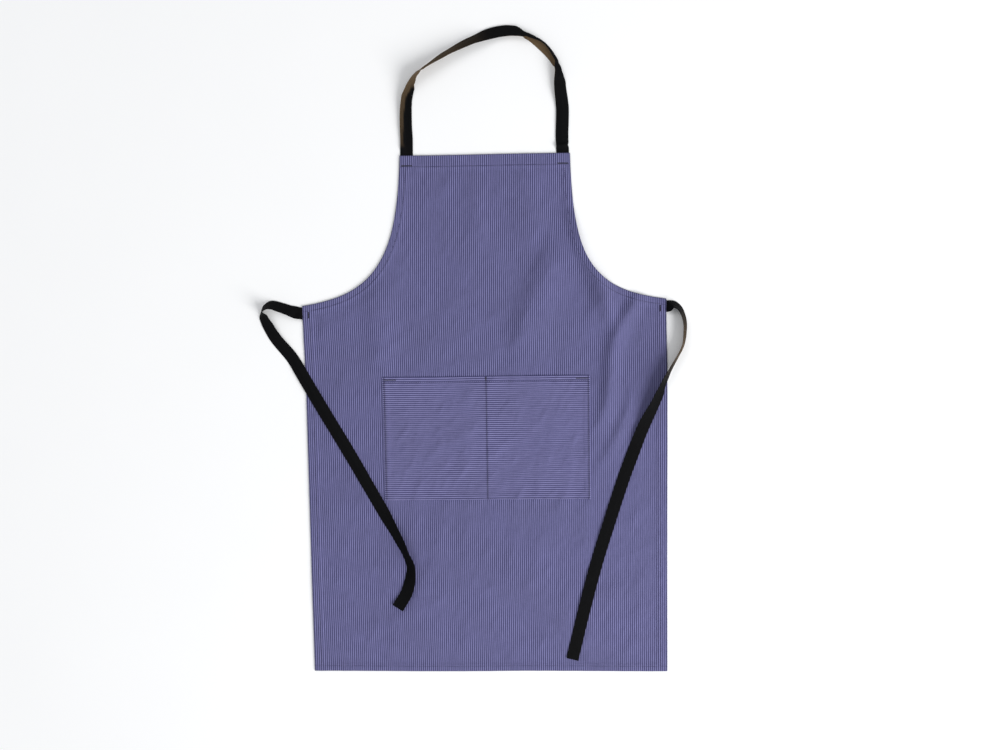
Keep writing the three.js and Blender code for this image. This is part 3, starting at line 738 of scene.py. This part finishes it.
class Finish:
    """A material and short ways to add and join its nodes."""

    def __init__(self, name, **sockets):
        self.material = bpy.data.materials.new(name)
        self.material.use_nodes = True
        self.tree = self.material.node_tree
        self.shader = self.tree.nodes["Principled BSDF"]
        for socket, value in sockets.items():
            self.shader.inputs[socket.replace("_", " ")].default_value = value

    def add(self, kind, inputs=(), **settings):
        node = self.tree.nodes.new("ShaderNode" + kind)
        for setting, value in settings.items():
            setattr(node, setting, value)
        for socket, value in dict(inputs).items():
            if isinstance(value, bpy.types.NodeSocket):
                self.tree.links.new(value, node.inputs[socket])
            else:
                node.inputs[socket].default_value = value
        return node

    def math(self, operation, *values):
        return self.add("Math", dict(enumerate(values)), operation=operation).outputs[0]

    def layout(self):
        """The flat layout's two directions, in metres."""
        flat = self.add("UVMap", uv_map="lay").outputs[0]
        split = self.add("SeparateXYZ", {0: flat})
        return split.outputs[0], split.outputs[1]

    def layered(self, base, *layers):
        """A value with others added to it, each given with its amount."""
        for value, amount in layers:
            base = self.math("MULTIPLY_ADD", value, amount, base)
        return base

    def noise(self, x, y, x_scale, y_scale):
        where = self.add("CombineXYZ", {
            0: self.math("MULTIPLY", x, x_scale), 1: self.math("MULTIPLY", y, y_scale)})
        return self.add("TexNoise", {"Vector": where.outputs[0], "Scale": 1.0,
                                     "Detail": 2.0}).outputs[0]

    def object_noise(self, scale, detail=3.0):
        where = self.add("TexCoord").outputs["Object"]
        return self.add("TexNoise", {"Vector": where, "Scale": scale,
                                     "Detail": detail}).outputs[0]

    def remap(self, value, low, high, new_low, new_high):
        return self.add("MapRange", {0: value, 1: low, 2: high, 3: new_low, 4: new_high},
                        interpolation_type="SMOOTHSTEP").outputs[0]

    def mix(self, share, first, second):
        node = self.add("Mix", {0: share, 6: first, 7: second}, data_type="RGBA")
        return node.outputs[2]

    def brightness(self, colour, value):
        return self.add("HueSaturation", {"Value": value, "Color": colour}).outputs[0]

    def attribute(self, name):
        return self.add("Attribute", attribute_name=name).outputs["Fac"]

    def wave(self, value, pitch):
        """A sine of 0 to 1 that repeats every pitch."""
        turn = self.math("MULTIPLY", value, math.tau / pitch)
        return self.layered(0.5, (self.math("SINE", turn), 0.5))

    def finish(self, colour, roughness=None, relief=()):
        """Joins colour, roughness and a stack of reliefs, each height and depth."""
        joins = {"Base Color": colour, "Roughness": roughness}
        for height, depth in relief:
            sockets = {"Height": height, "Strength": 1.0, "Distance": depth}
            if "Normal" in joins:
                sockets["Normal"] = joins["Normal"]
            joins["Normal"] = self.add("Bump", sockets).outputs[0]
        for socket, value in joins.items():
            if value is not None:
                self.tree.links.new(value, self.shader.inputs[socket])
        return self.material


def striped_cloth(name, settings, upright, pale, dark, rim):
    """Woven cotton with fine stripes, along the layout's second direction if upright."""
    cloth = Finish(name, Roughness=0.9, Specular_IOR_Level=0.25, Sheen_Weight=0.22,
                   Sheen_Roughness=0.45, Sheen_Tint=(0.62, 0.6, 0.86, 1.0))
    x, y = cloth.layout()
    cross, along = (x, y) if upright else (y, x)
    drift = cloth.math("SUBTRACT", cloth.noise(cross, along, 65, 9), 0.5)
    wander = cloth.math("SUBTRACT", cloth.noise(cross, along, 320, 110), 0.5)
    moved = cloth.layered(cross, (drift, 0.0016), (wander, 0.0002))
    ridge = cloth.math("PINGPONG", cloth.math("DIVIDE", moved, settings.stripe_pitch), 0.5)
    low = (1 - settings.stripe_share) / 2
    stripe = cloth.remap(ridge, low - 0.045, low + 0.045, 0, 1)
    warp, weft = (cloth.wave(way, settings.yarn_pitch) for way in (cross, along))
    weave = cloth.math("ABSOLUTE", cloth.math("SUBTRACT", warp, weft))
    slub = cloth.noise(cross, along, 2100, 55)
    cross_slub = cloth.noise(cross, along, 60, 2100)
    mottle = cloth.object_noise(11.0)
    colour = cloth.mix(cloth.math("MULTIPLY", stripe, cloth.remap(slub, 0.25, 0.6, 0.72, 1)),
                       (*dark, 1), (*pale, 1))
    value = cloth.layered(0.58, (slub, 0.3), (cross_slub, 0.22), (mottle, 0.22), (weave, 0.12))
    # The colour is lightened or darkened near edges and seams: painted shade along the panel's
    # rolled edge, and on the pocket a painted highlight on its folded edges and painted shade in
    # its stitch grooves.
    value = cloth.math("MULTIPLY", value, cloth.layered(1.0, (cloth.attribute("rim"), rim)))
    return cloth.finish(
        colour=cloth.brightness(colour, value),
        roughness=cloth.remap(mottle, 0.3, 0.7, 0.84, 0.95),
        relief=[(weave, 0.00009), (slub, 0.00006)],
    )


def woven_tape(settings):
    """Black herringbone tape, with a painted highlight that turns it sun brown where it stands on
    edge.
    """
    tape = Finish("woven_black_tape", Roughness=0.8, Specular_IOR_Level=0.07)
    along, across = tape.layout()
    away = tape.math("ABSOLUTE", across)
    twill = tape.wave(tape.layered(along, (away, 1.2)), settings.rib_pitch)
    warp = tape.wave(across, settings.rib_pitch * 0.55)
    slub = tape.noise(along, across, 90, 2600)
    lint = tape.object_noise(900, 2.0)
    edge = TAPE_WIDTH / 2 * MM
    # A lighter band along each edge: partly the selvage's own tone, partly a painted highlight of
    # the lit rim.
    selvage_highlight = tape.remap(away, edge * 0.86, edge * 0.93, 0, 1)
    # Painted highlight: sun brown is mixed into the black dye where the tape stands on edge.
    warmth = tape.math("MULTIPLY", tape.attribute("warmth"),
                       tape.remap(slub, 0.25, 0.65, 0.6, 1.0))
    black = tape.mix(tape.remap(lint, 0.66, 0.8, 0, 0.5), (*settings.dye, 1),
                     (*settings.lint, 1))
    colour = tape.mix(warmth, black, (*settings.painted_sun_brown, 1))
    value = tape.layered(0.62, (twill, 0.5), (selvage_highlight, 0.25), (slub, 0.25))
    return tape.finish(
        colour=tape.brightness(colour, value),
        roughness=tape.remap(slub, 0.3, 0.7, 0.62, 0.82),
        relief=[(twill, 0.00014), (warp, 0.00005)],
    )


# From one ply of a thread to the next, in metres.
PLY_PITCH = 0.00045


def twisted_thread(name, colour, pale):
    """Sewing thread of twisted plies."""
    thread = Finish(name, Roughness=0.6, Specular_IOR_Level=0.4, Sheen_Weight=0.2,
                    Sheen_Roughness=0.4)
    along, around = thread.layout()
    ply = thread.wave(thread.layered(along, (around, 0.9)), PLY_PITCH)
    fuzz = thread.object_noise(1400, 2.0)
    # The pale colour on the ply crests is a painted highlight.
    mixed = thread.mix(thread.remap(ply, 0.2, 0.9, 0, 0.8), (*colour, 1), (*pale, 1))
    return thread.finish(
        colour=thread.brightness(mixed, thread.layered(0.75, (fuzz, 0.5))),
        roughness=thread.remap(fuzz, 0.3, 0.7, 0.5, 0.7),
        relief=[(ply, 0.00006)],
    )


def finish_named(name, make):
    """A material that several pieces share, made the first time it is asked for."""
    return bpy.data.materials.get(name) or make()


# ---- Stitches -------------------------------------------------------------------------


def one_stitch():
    """The points and faces of one stitch of unit size, which comes up out of the cloth,
    lies along it and goes down again."""
    clear_selection()
    bpy.ops.mesh.primitive_cylinder_add(vertices=6, radius=0.5, depth=1.0,
                                        rotation=(0, math.pi / 2, 0))
    stitch = bpy.context.active_object
    bpy.ops.object.transform_apply(location=True, rotation=True, scale=True)
    bpy.ops.object.mode_set(mode="EDIT")
    bpy.ops.mesh.select_mode(type="EDGE")
    shell = bmesh.from_edit_mesh(stitch.data)
    for edge in shell.edges:
        a, b = (vertex.co.x for vertex in edge.verts)
        edge.select = abs(a - b) > 0.5
    bmesh.update_edit_mesh(stitch.data)
    bpy.ops.mesh.subdivide(number_cuts=4)
    bpy.ops.object.mode_set(mode="OBJECT")
    mesh = stitch.data
    points = np.array([vertex.co for vertex in mesh.vertices])
    faces = [list(face.vertices) for face in mesh.polygons]
    bpy.data.objects.remove(stitch)
    bpy.data.meshes.remove(mesh)
    bow = 1 - (2 * points[:, 0]) ** 4
    points[:, 1] *= 0.55 + 0.45 * bow
    points[:, 2] = points[:, 2] * (0.5 + 0.5 * bow) - 0.5 * (1 - bow)
    return points, faces


def resample(line, places):
    """Points at lengths along a line of points."""
    reach = lengths_up_to(line)
    return columns(*(np.interp(places, reach, line[:, k]) for k in (0, 1)))


def stitch_ends(runs, pitch, width, kind, draw):
    """Where each stitch of some lines starts and ends on the flat pattern."""
    starts_at, ends_at = [], []
    for run in runs:
        line = np.asarray(run, float)
        length = step_lengths(line).sum()
        count = max(1, round(length / pitch))
        step = length / count
        reach = step * kind["fill"]
        for turn in range(kind["passes"]):
            starts = (np.arange(count) + (1 - kind["fill"]) / 2 + (turn % 2) / 2) * step
            starts = starts[starts + reach < length + step * 0.1]
            first, last = resample(line, starts), resample(line, starts + reach)
            heading = last - first
            heading /= np.linalg.norm(heading, axis=1)[:, None]
            normal = columns(-heading[:, 1], heading[:, 0])
            aside = (turn - (kind["passes"] - 1) / 2) * width * 0.55
            for found, place in ((starts_at, first), (ends_at, last)):
                strayed = draw.normal(0, kind["wobble"], (len(place), 1))
                found.append(place + normal * (aside + strayed))
    return np.vstack(starts_at), np.vstack(ends_at)


# Thread, share of its set thickness, share of the set pitch, share of a pitch that a
# stitch fills, how far it strays and how often the line is sewn over.
SEAM = {"thread": "navy", "width": 1.0, "pitch": 1.0, "fill": 0.82, "wobble": 0.06,
        "passes": 1}
TACK = {"thread": "black", "width": 1.15, "pitch": 0.8, "fill": 0.94, "wobble": 0.09,
        "passes": 3}
THREAD_HIGHLIGHTS = {"navy": (0.03, 0.028, 0.1), "black": (0.03, 0.03, 0.036)}


def sew(context, name, node, runs, surface, kind):
    """Stitches along lines on a surface, as one mesh in place of a node."""
    settings = context.scene.apron_thread
    width = settings.thickness / MM * kind["width"]
    pitch = settings.stitch_pitch / MM * kind["pitch"]
    thread = kind["thread"]
    thread_name = f"{thread}_sewing_thread"
    material = finish_named(thread_name, lambda: twisted_thread(
        thread_name, getattr(settings, thread), THREAD_HIGHLIGHTS[thread]))

    name = f"{name}_stitches"
    template, template_faces = one_stitch()
    draw = np.random.default_rng(sum(map(ord, name)))
    first, last = stitch_ends(runs, pitch, width, kind, draw)
    start, end, between = (
        columns(*lie(place[:, 0], place[:, 1]), surface(place[:, 0], place[:, 1]))
        for place in (first, last, (first + last) / 2))
    along = end - start
    side = np.cross(np.array([0.0, 0.0, 1.0]), along)
    side /= np.linalg.norm(side, axis=1)[:, None]
    up = np.cross(along, side)
    up /= np.linalg.norm(up, axis=1)[:, None]
    middle = (start + end + 2 * between) / 4 + up * width * 0.16
    points = (middle[:, None, :] + template[None, :, 0:1] * along[:, None, :]
              + template[None, :, 1:2] * side[:, None, :] * width
              + template[None, :, 2:3] * up[:, None, :] * width)
    count, size = points.shape[:2]
    faces = [[base + k for k in face]
             for base in range(0, count * size, size) for face in template_faces]
    around = np.arctan2(template[:, 2], template[:, 1]) / math.tau
    layout = np.tile(columns(template[:, 0] * pitch * kind["fill"], around * 1.4), (count, 1))
    piece = new_piece(name, points.reshape(-1, 3), faces, material, layout)
    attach(piece, "apron")
    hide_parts(node)


def faces_to_sew(context):
    """The height of the panel's face and of the pocket's, as functions of a place."""
    cloth = context.scene.apron_cloth

    def panel_face(x, y):
        return cloth_heights(x, y, cloth.rumple)[1]

    def pocket_face(x, y):
        return pocket_heights(x, y, cloth.rumple, cloth.pocket_opening / MM)[1]

    return panel_face, pocket_face


# ---- Settings -------------------------------------------------------------------------


def colour_setting(name, description, default):
    return FloatVectorProperty(name=name, description=description, default=default,
                               subtype="COLOR", size=3, min=0.0, max=1.0)


def length_setting(name, description, default, low, high):
    return FloatProperty(name=name, description=description, default=default, min=low,
                         max=high, unit="LENGTH", precision=5)


def share_setting(name, description, default, low=0.0, high=1.0):
    return FloatProperty(name=name, description=description, default=default, min=low,
                         max=high, subtype="FACTOR")


class ApronClothSettings(bpy.types.PropertyGroup):
    """The striped cloth and how it lies"""

    stripe_pitch: length_setting(
        "Stripe pitch", "From one pale stripe to the next", 0.00335, 0.001, 0.03)
    stripe_share: share_setting(
        "Pale share", "How much of the pitch the pale stripe takes", 0.38)
    yarn_pitch: length_setting(
        "Yarn pitch", "From one yarn to the next in the weave", 0.00056, 0.0002, 0.003)
    dark_stripe: colour_setting("Dark stripe", "Colour of the dark yarn", (0.062, 0.06, 0.152))
    pale_stripe: colour_setting(
        "Pale stripe", "Colour of the pale yarn", (0.236, 0.232, 0.45))
    pocket_dark: colour_setting(
        "Pocket dark stripe", "Colour of the pocket's dark yarn", (0.066, 0.063, 0.163))
    pocket_pale: colour_setting(
        "Pocket pale stripe", "Colour of the pocket's pale yarn", (0.262, 0.254, 0.478))
    rumple: share_setting(
        "Rumple", "How much the cloth is creased, as a share of its usual amount", 1.0, 0, 2)
    pocket_opening: length_setting(
        "Pocket opening", "How far each compartment stands open at its mouth",
        0.0003, 0.0, 0.007)


class ApronTapeSettings(bpy.types.PropertyGroup):
    """The woven tape of the neck strap and the ties"""

    rib_pitch: length_setting("Rib pitch", "From one twill rib to the next", 0.0013, 0.0004, 0.005)
    dye: colour_setting("Dye", "Colour of the tape", (0.0032, 0.0032, 0.0037))
    lint: colour_setting("Lint", "Colour of the lint caught in the tape", (0.009, 0.009, 0.011))
    # Colour of the painted highlight that turns the tape sun brown where it stands on edge.
    painted_sun_brown: colour_setting(
        "Painted sun brown", "Colour of the tape where it has faded", (0.15, 0.1, 0.055))


class ApronThreadSettings(bpy.types.PropertyGroup):
    """The sewing thread"""

    stitch_pitch: length_setting(
        "Stitch pitch", "From one stitch to the next", 0.0031, 0.0015, 0.008)
    thickness: length_setting("Thread", "Thickness of the thread", 0.00065, 0.0002, 0.0015)
    navy: colour_setting("Hem thread", "Colour of the hem thread", (0.012, 0.01, 0.045))
    black: colour_setting("Tack thread", "Colour of the tack thread", (0.006, 0.006, 0.008))


class ApronStageSettings(bpy.types.PropertyGroup):
    """The floor and the lights"""

    floor: colour_setting("Floor", "Colour of the floor", (0.985, 0.985, 0.985))
    key_power: FloatProperty(name="Key light", description="Power of the key light",
                             default=194.0, min=0.0, unit="POWER")
    fill_power: FloatProperty(name="Fill light", description="Power of the fill light",
                              default=54.0, min=0.0, unit="POWER")
    sky: share_setting("Sky", "Strength of the light from all round", 0.45, 0, 4)


# ---- Operators ------------------------------------------------------------------------


# The stage, in metres and degrees.
CAMERA_PLACE, CAMERA_TURNS = (0.0601, 0.2180, 1.6513), (-5.047, 1.232, -0.483)
KEY_PLACE, FILL_PLACE = (3.0, -2.1, 2.25), (-2.6, 2.4, 3.8)
LIGHT_SIZE, LIGHT_AIM = 3.0, (0.0, 0.05, 0.0)
FLOOR_SIZE, FLOOR_DEPTH = 30.0, 0.0004
SKY_COLOUR = (0.95, 0.97, 1.0, 1.0)


class APRON_OT_stage(bpy.types.Operator):
    """Set up the camera, the floor and the lights"""

    bl_idname = "apron.stage"
    bl_label = "Stage"

    def execute(self, context):
        settings = context.scene.apron_stage
        camera_data = bpy.data.cameras.new("camera")
        camera_data.lens = camera_data.sensor_width = 36.0
        camera_data.clip_end = 50.0
        camera = bpy.data.objects.new("camera", camera_data)
        camera.location = CAMERA_PLACE
        camera.rotation_euler = tuple(math.radians(turn) for turn in CAMERA_TURNS)
        context.scene.collection.objects.link(camera)
        context.scene.camera = camera

        clear_selection()
        bpy.ops.mesh.primitive_plane_add(size=FLOOR_SIZE, location=(0, 0, -FLOOR_DEPTH))
        floor = context.active_object
        floor.name = "floor"
        bpy.ops.object.transform_apply(location=True, rotation=True, scale=True)
        pale = Finish("pale_floor", Roughness=0.9, Specular_IOR_Level=0.1)
        grain = pale.layered(0.99, (pale.object_noise(6.0), 0.02))
        floor.data.materials.append(
            pale.finish(colour=pale.brightness((*settings.floor, 1), grain)))

        self.add_light(context, "key_light", KEY_PLACE, settings.key_power)
        self.add_light(context, "fill_light", FILL_PLACE, settings.fill_power)

        world = bpy.data.worlds.new("sky")
        world.use_nodes = True
        background = world.node_tree.nodes["Background"]
        background.inputs[0].default_value = SKY_COLOUR
        background.inputs[1].default_value = settings.sky
        context.scene.world = world
        context.scene.view_settings.view_transform = "Standard"
        return {"FINISHED"}

    @staticmethod
    def add_light(context, name, place, power):
        light_data = bpy.data.lights.new(name, "AREA")
        light_data.shape = "DISK"
        light_data.size = LIGHT_SIZE
        light_data.energy = power
        light = bpy.data.objects.new(name, light_data)
        light.location = place
        aim = Vector(LIGHT_AIM) - Vector(place)
        light.rotation_euler = aim.to_track_quat("-Z", "Y").to_euler()
        context.scene.collection.objects.link(light)


class APRON_OT_cloth_panel(bpy.types.Operator):
    """Cut the cloth panel, turn its hems and lay it down"""

    bl_idname = "apron.cloth_panel"
    bl_label = "Cloth panel"

    def execute(self, context):
        settings = context.scene.apron_cloth
        outline, inner = panel_points()
        count = len(outline)
        loop = [(k, (k + 1) % count) for k in range(count)]
        places = np.vstack([outline, inner])
        cut = delaunay_2d_cdt([Vector(place) for place in places], loop, [], 1, 1e-4)
        order = [sources[0] for sources in cut[3]]
        triangles = np.array([[order[k] for k in face] for face in cut[2]])
        heights = cloth_heights(places[:, 0], places[:, 1], settings.rumple)
        points, faces, layout = double_sided(count, places, triangles, heights)
        inset = edge_gaps(layout[:, 0], layout[:, 1]).min(axis=0)
        material = striped_cloth("striped_body_cloth", settings, True,
                                 settings.pale_stripe, settings.dark_stripe, -0.35)
        # Painted shade darkens the cloth along its rolled outer edge.
        panel = new_piece("apron_panel", points, faces, material, layout,
                          rim=1 - smoothstep(0.2, 1.6, inset))
        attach(panel, "apron")
        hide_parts("body_panel")
        return {"FINISHED"}


class APRON_OT_pocket(bpy.types.Operator):
    """Cut the divided patch pocket and lay it on the panel"""

    bl_idname = "apron.pocket"
    bl_label = "Pocket"

    def execute(self, context):
        settings = context.scene.apron_cloth
        places, quads, border_count = pocket_grid()
        heights = pocket_heights(places[:, 0], places[:, 1], settings.rumple,
                                 settings.pocket_opening / MM)
        points, faces, layout = double_sided(border_count, places, quads, heights)
        side, bottom, mouth = pocket_insets(layout[:, 0], layout[:, 1])
        inset = np.minimum(side, np.minimum(bottom, mouth))
        # Painted highlight brightens the pocket's folded edges; painted shade darkens the grooves
        # of its edge and divider stitches.
        seam = np.maximum(bell(side - 2.8, 1.5), bell(layout[:, 0], 1.6))
        material = striped_cloth("striped_pocket_cloth", settings, False,
                                 settings.pocket_pale, settings.pocket_dark, 0.35)
        pocket = new_piece("pocket", points, faces, material, layout,
                           rim=1 - smoothstep(0.1, 1.0, inset) - 1.05 * seam)
        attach(pocket, "apron")
        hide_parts("pocket_panel")
        return {"FINISHED"}


def add_tape(context, name, stations, sewn_ends, seed):
    """A length of tape as one closed mesh."""
    rumple = context.scene.apron_cloth.rumple
    points, layout, warmth, length = lay_tape(stations, rumple, sewn_ends, seed)
    rings, around = points.shape[:2]
    material = finish_named("woven_black_tape", lambda: woven_tape(context.scene.apron_tape))
    piece = new_piece(name, points.reshape(-1, 3), tube_faces(rings, around), material,
                      layout.reshape(-1, 2), warmth=warmth)
    return piece, length


class APRON_OT_neck_strap(bpy.types.Operator):
    """Lay out the neck strap"""

    bl_idname = "apron.neck_strap"
    bl_label = "Neck strap"

    def execute(self, context):
        strap, length = add_tape(context, "neck_strap_tape", neck_stations(), (0, 1), 21)
        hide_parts("neck_strap", "neck_strap_left_sewn_end",
                    "neck_strap_right_sewn_end")
        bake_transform(strap)
        return {"FINISHED"}


class APRON_OT_waist_ties(bpy.types.Operator):
    """Lay out the two waist ties"""

    bl_idname = "apron.waist_ties"
    bl_label = "Waist ties"

    def execute(self, context):
        ties = [
            ("left", -1, LEFT_TIE_LOOP, LEFT_TIE_TAIL, 22),
            ("right", 1, RIGHT_TIE_LOOP, RIGHT_TIE_TAIL, 23),
        ]
        for name, side, loop, tail, seed in ties:
            stations = tie_stations(side, loop, tail)
            tie, length = add_tape(context, f"{name}_tie_tape", stations, (0,), seed)
            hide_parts(f"{name}_tie", f"{name}_tie_sewn_end")
            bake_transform(tie)
        return {"FINISHED"}


class APRON_OT_hem_stitches(bpy.types.Operator):
    """Sew the hems"""

    bl_idname = "apron.hem_stitches"
    bl_label = "Hem stitches"

    def execute(self, context):
        panel_face, _ = faces_to_sew(context)
        bib_y = TOP_Y - BIB_HEM + HEM_STITCH_MARGIN
        bottom_y = BOTTOM_Y + BOTTOM_HEM - HEM_STITCH_MARGIN
        side_x = HALF_SKIRT - SIDE_HEM + HEM_STITCH_MARGIN
        inset = ARMHOLE_HEM - HEM_STITCH_MARGIN
        place, run = armhole_at(np.linspace(0, 1, 90))
        arm = place + columns(run[:, 1], -run[:, 0]) * inset
        arm = arm[(arm[:, 1] < bib_y - 1) & (arm[:, 0] < HALF_SKIRT - 1)]
        seams = [("bib_hem", [(-HALF_BIB + 1, bib_y), (HALF_BIB - 1, bib_y)]),
                 ("bottom_hem", [(-HALF_SKIRT + 1, bottom_y), (HALF_SKIRT - 1, bottom_y)])]
        for name, side in (("left", -1), ("right", 1)):
            seams.append((f"{name}_side_hem", [(side * side_x, bottom_y + 1),
                                               (side * side_x, WAIST_Y - inset)]))
            seams.append((f"{name}_armhole_hem", arm * (side, 1)))
        for name, line in seams:
            sew(context, name, f"{name}_thread", [line], panel_face, SEAM)
        return {"FINISHED"}


class APRON_OT_pocket_stitches(bpy.types.Operator):
    """Sew the pocket's mouth, edges and divider"""

    bl_idname = "apron.pocket_stitches"
    bl_label = "Pocket stitches"

    def execute(self, context):
        _, pocket_face = faces_to_sew(context)
        edge_x = HALF_POCKET - POCKET_STITCH_INSET
        low = POCKET_BOTTOM_Y + POCKET_STITCH_INSET
        mouth = POCKET_MOUTH_Y - POCKET_MOUTH_STITCH
        seams = [
            ("pocket_mouth", [[(-edge_x + 1, mouth), (edge_x - 1, mouth)]]),
            ("pocket_edge", [[(-edge_x, POCKET_MOUTH_Y - 1), (-edge_x, low)],
                             [(-edge_x, low), (edge_x, low)],
                             [(edge_x, low), (edge_x, POCKET_MOUTH_Y - 1)]]),
            ("pocket_divider", [[(0, low + 1), (0, mouth - 1)]]),
        ]
        for name, runs in seams:
            sew(context, name, f"{name}_thread", runs, pocket_face, SEAM)
        return {"FINISHED"}


class APRON_OT_tacks(bpy.types.Operator):
    """Sew the reinforcing tacks"""

    bl_idname = "apron.tacks"
    bl_label = "Tacks"

    def execute(self, context):
        panel_face, pocket_face = faces_to_sew(context)
        half = TAPE_WIDTH / 2 - 1
        neck_y = TOP_Y - BIB_HEM + HEM_STITCH_MARGIN + 1.5
        tie_x = HALF_SKIRT - 10
        tie_low, tie_high = TIE_Y - half, WAIST_Y - ARMHOLE_HEM + HEM_STITCH_MARGIN
        corner = HALF_POCKET - POCKET_STITCH_INSET - 1
        corner_y = POCKET_MOUTH_Y - 5
        tacks = [("pocket_divider_tack", pocket_face, [
            (0, POCKET_MOUTH_Y - POCKET_MOUTH_STITCH + 1), (0, POCKET_MOUTH_Y - 1)])]
        for name, side in (("left", -1), ("right", 1)):
            tacks += [
                (f"neck_strap_{name}_tack", panel_face, [
                    (side * NECK_X - half, neck_y), (side * NECK_X + half, neck_y)]),
                (f"{name}_tie_tack", panel_face, [
                    (side * tie_x, tie_low), (side * tie_x, tie_high)]),
                (f"pocket_{name}_corner_tack", pocket_face, [
                    (side * corner, corner_y), (side * (corner - 20), corner_y)]),
            ]
        for name, surface, line in tacks:
            sew(context, name, name, [line], surface, TACK)
        return {"FINISHED"}


class APRON_PT_sidebar(bpy.types.Panel):
    """The apron's settings and pieces"""

    bl_idname = "APRON_PT_sidebar"
    bl_label = "Bib apron"
    bl_space_type = "VIEW_3D"
    bl_region_type = "UI"
    bl_category = "Apron"

    def draw(self, context):
        for group in ("apron_cloth", "apron_tape", "apron_thread", "apron_stage"):
            settings = getattr(context.scene, group)
            box = self.layout.box()
            for setting in settings.bl_rna.properties:
                if setting.identifier not in ("rna_type", "name"):
                    box.prop(settings, setting.identifier)
        for operator in OPERATORS:
            self.layout.operator(operator.bl_idname)


SETTINGS = {
    "apron_cloth": ApronClothSettings,
    "apron_tape": ApronTapeSettings,
    "apron_thread": ApronThreadSettings,
    "apron_stage": ApronStageSettings,
}
OPERATORS = (
    APRON_OT_stage,
    APRON_OT_cloth_panel,
    APRON_OT_pocket,
    APRON_OT_neck_strap,
    APRON_OT_waist_ties,
    APRON_OT_hem_stitches,
    APRON_OT_pocket_stitches,
    APRON_OT_tacks,
)


def register():
    for group in (*SETTINGS.values(), *OPERATORS, APRON_PT_sidebar):
        bpy.utils.register_class(group)
    for name, group in SETTINGS.items():
        setattr(bpy.types.Scene, name, PointerProperty(type=group))


def unregister():
    for name in SETTINGS:
        delattr(bpy.types.Scene, name)
    for group in (APRON_PT_sidebar, *reversed(OPERATORS), *SETTINGS.values()):
        bpy.utils.unregister_class(group)


def main():
    """Makes the apron."""
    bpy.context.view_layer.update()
    register()
    bpy.ops.apron.stage()
    bpy.ops.apron.cloth_panel()
    bpy.ops.apron.pocket()
    bpy.ops.apron.neck_strap()
    bpy.ops.apron.waist_ties()
    bpy.ops.apron.hem_stitches()
    bpy.ops.apron.pocket_stitches()
    bpy.ops.apron.tacks()


if __name__ == "__main__":
    main()
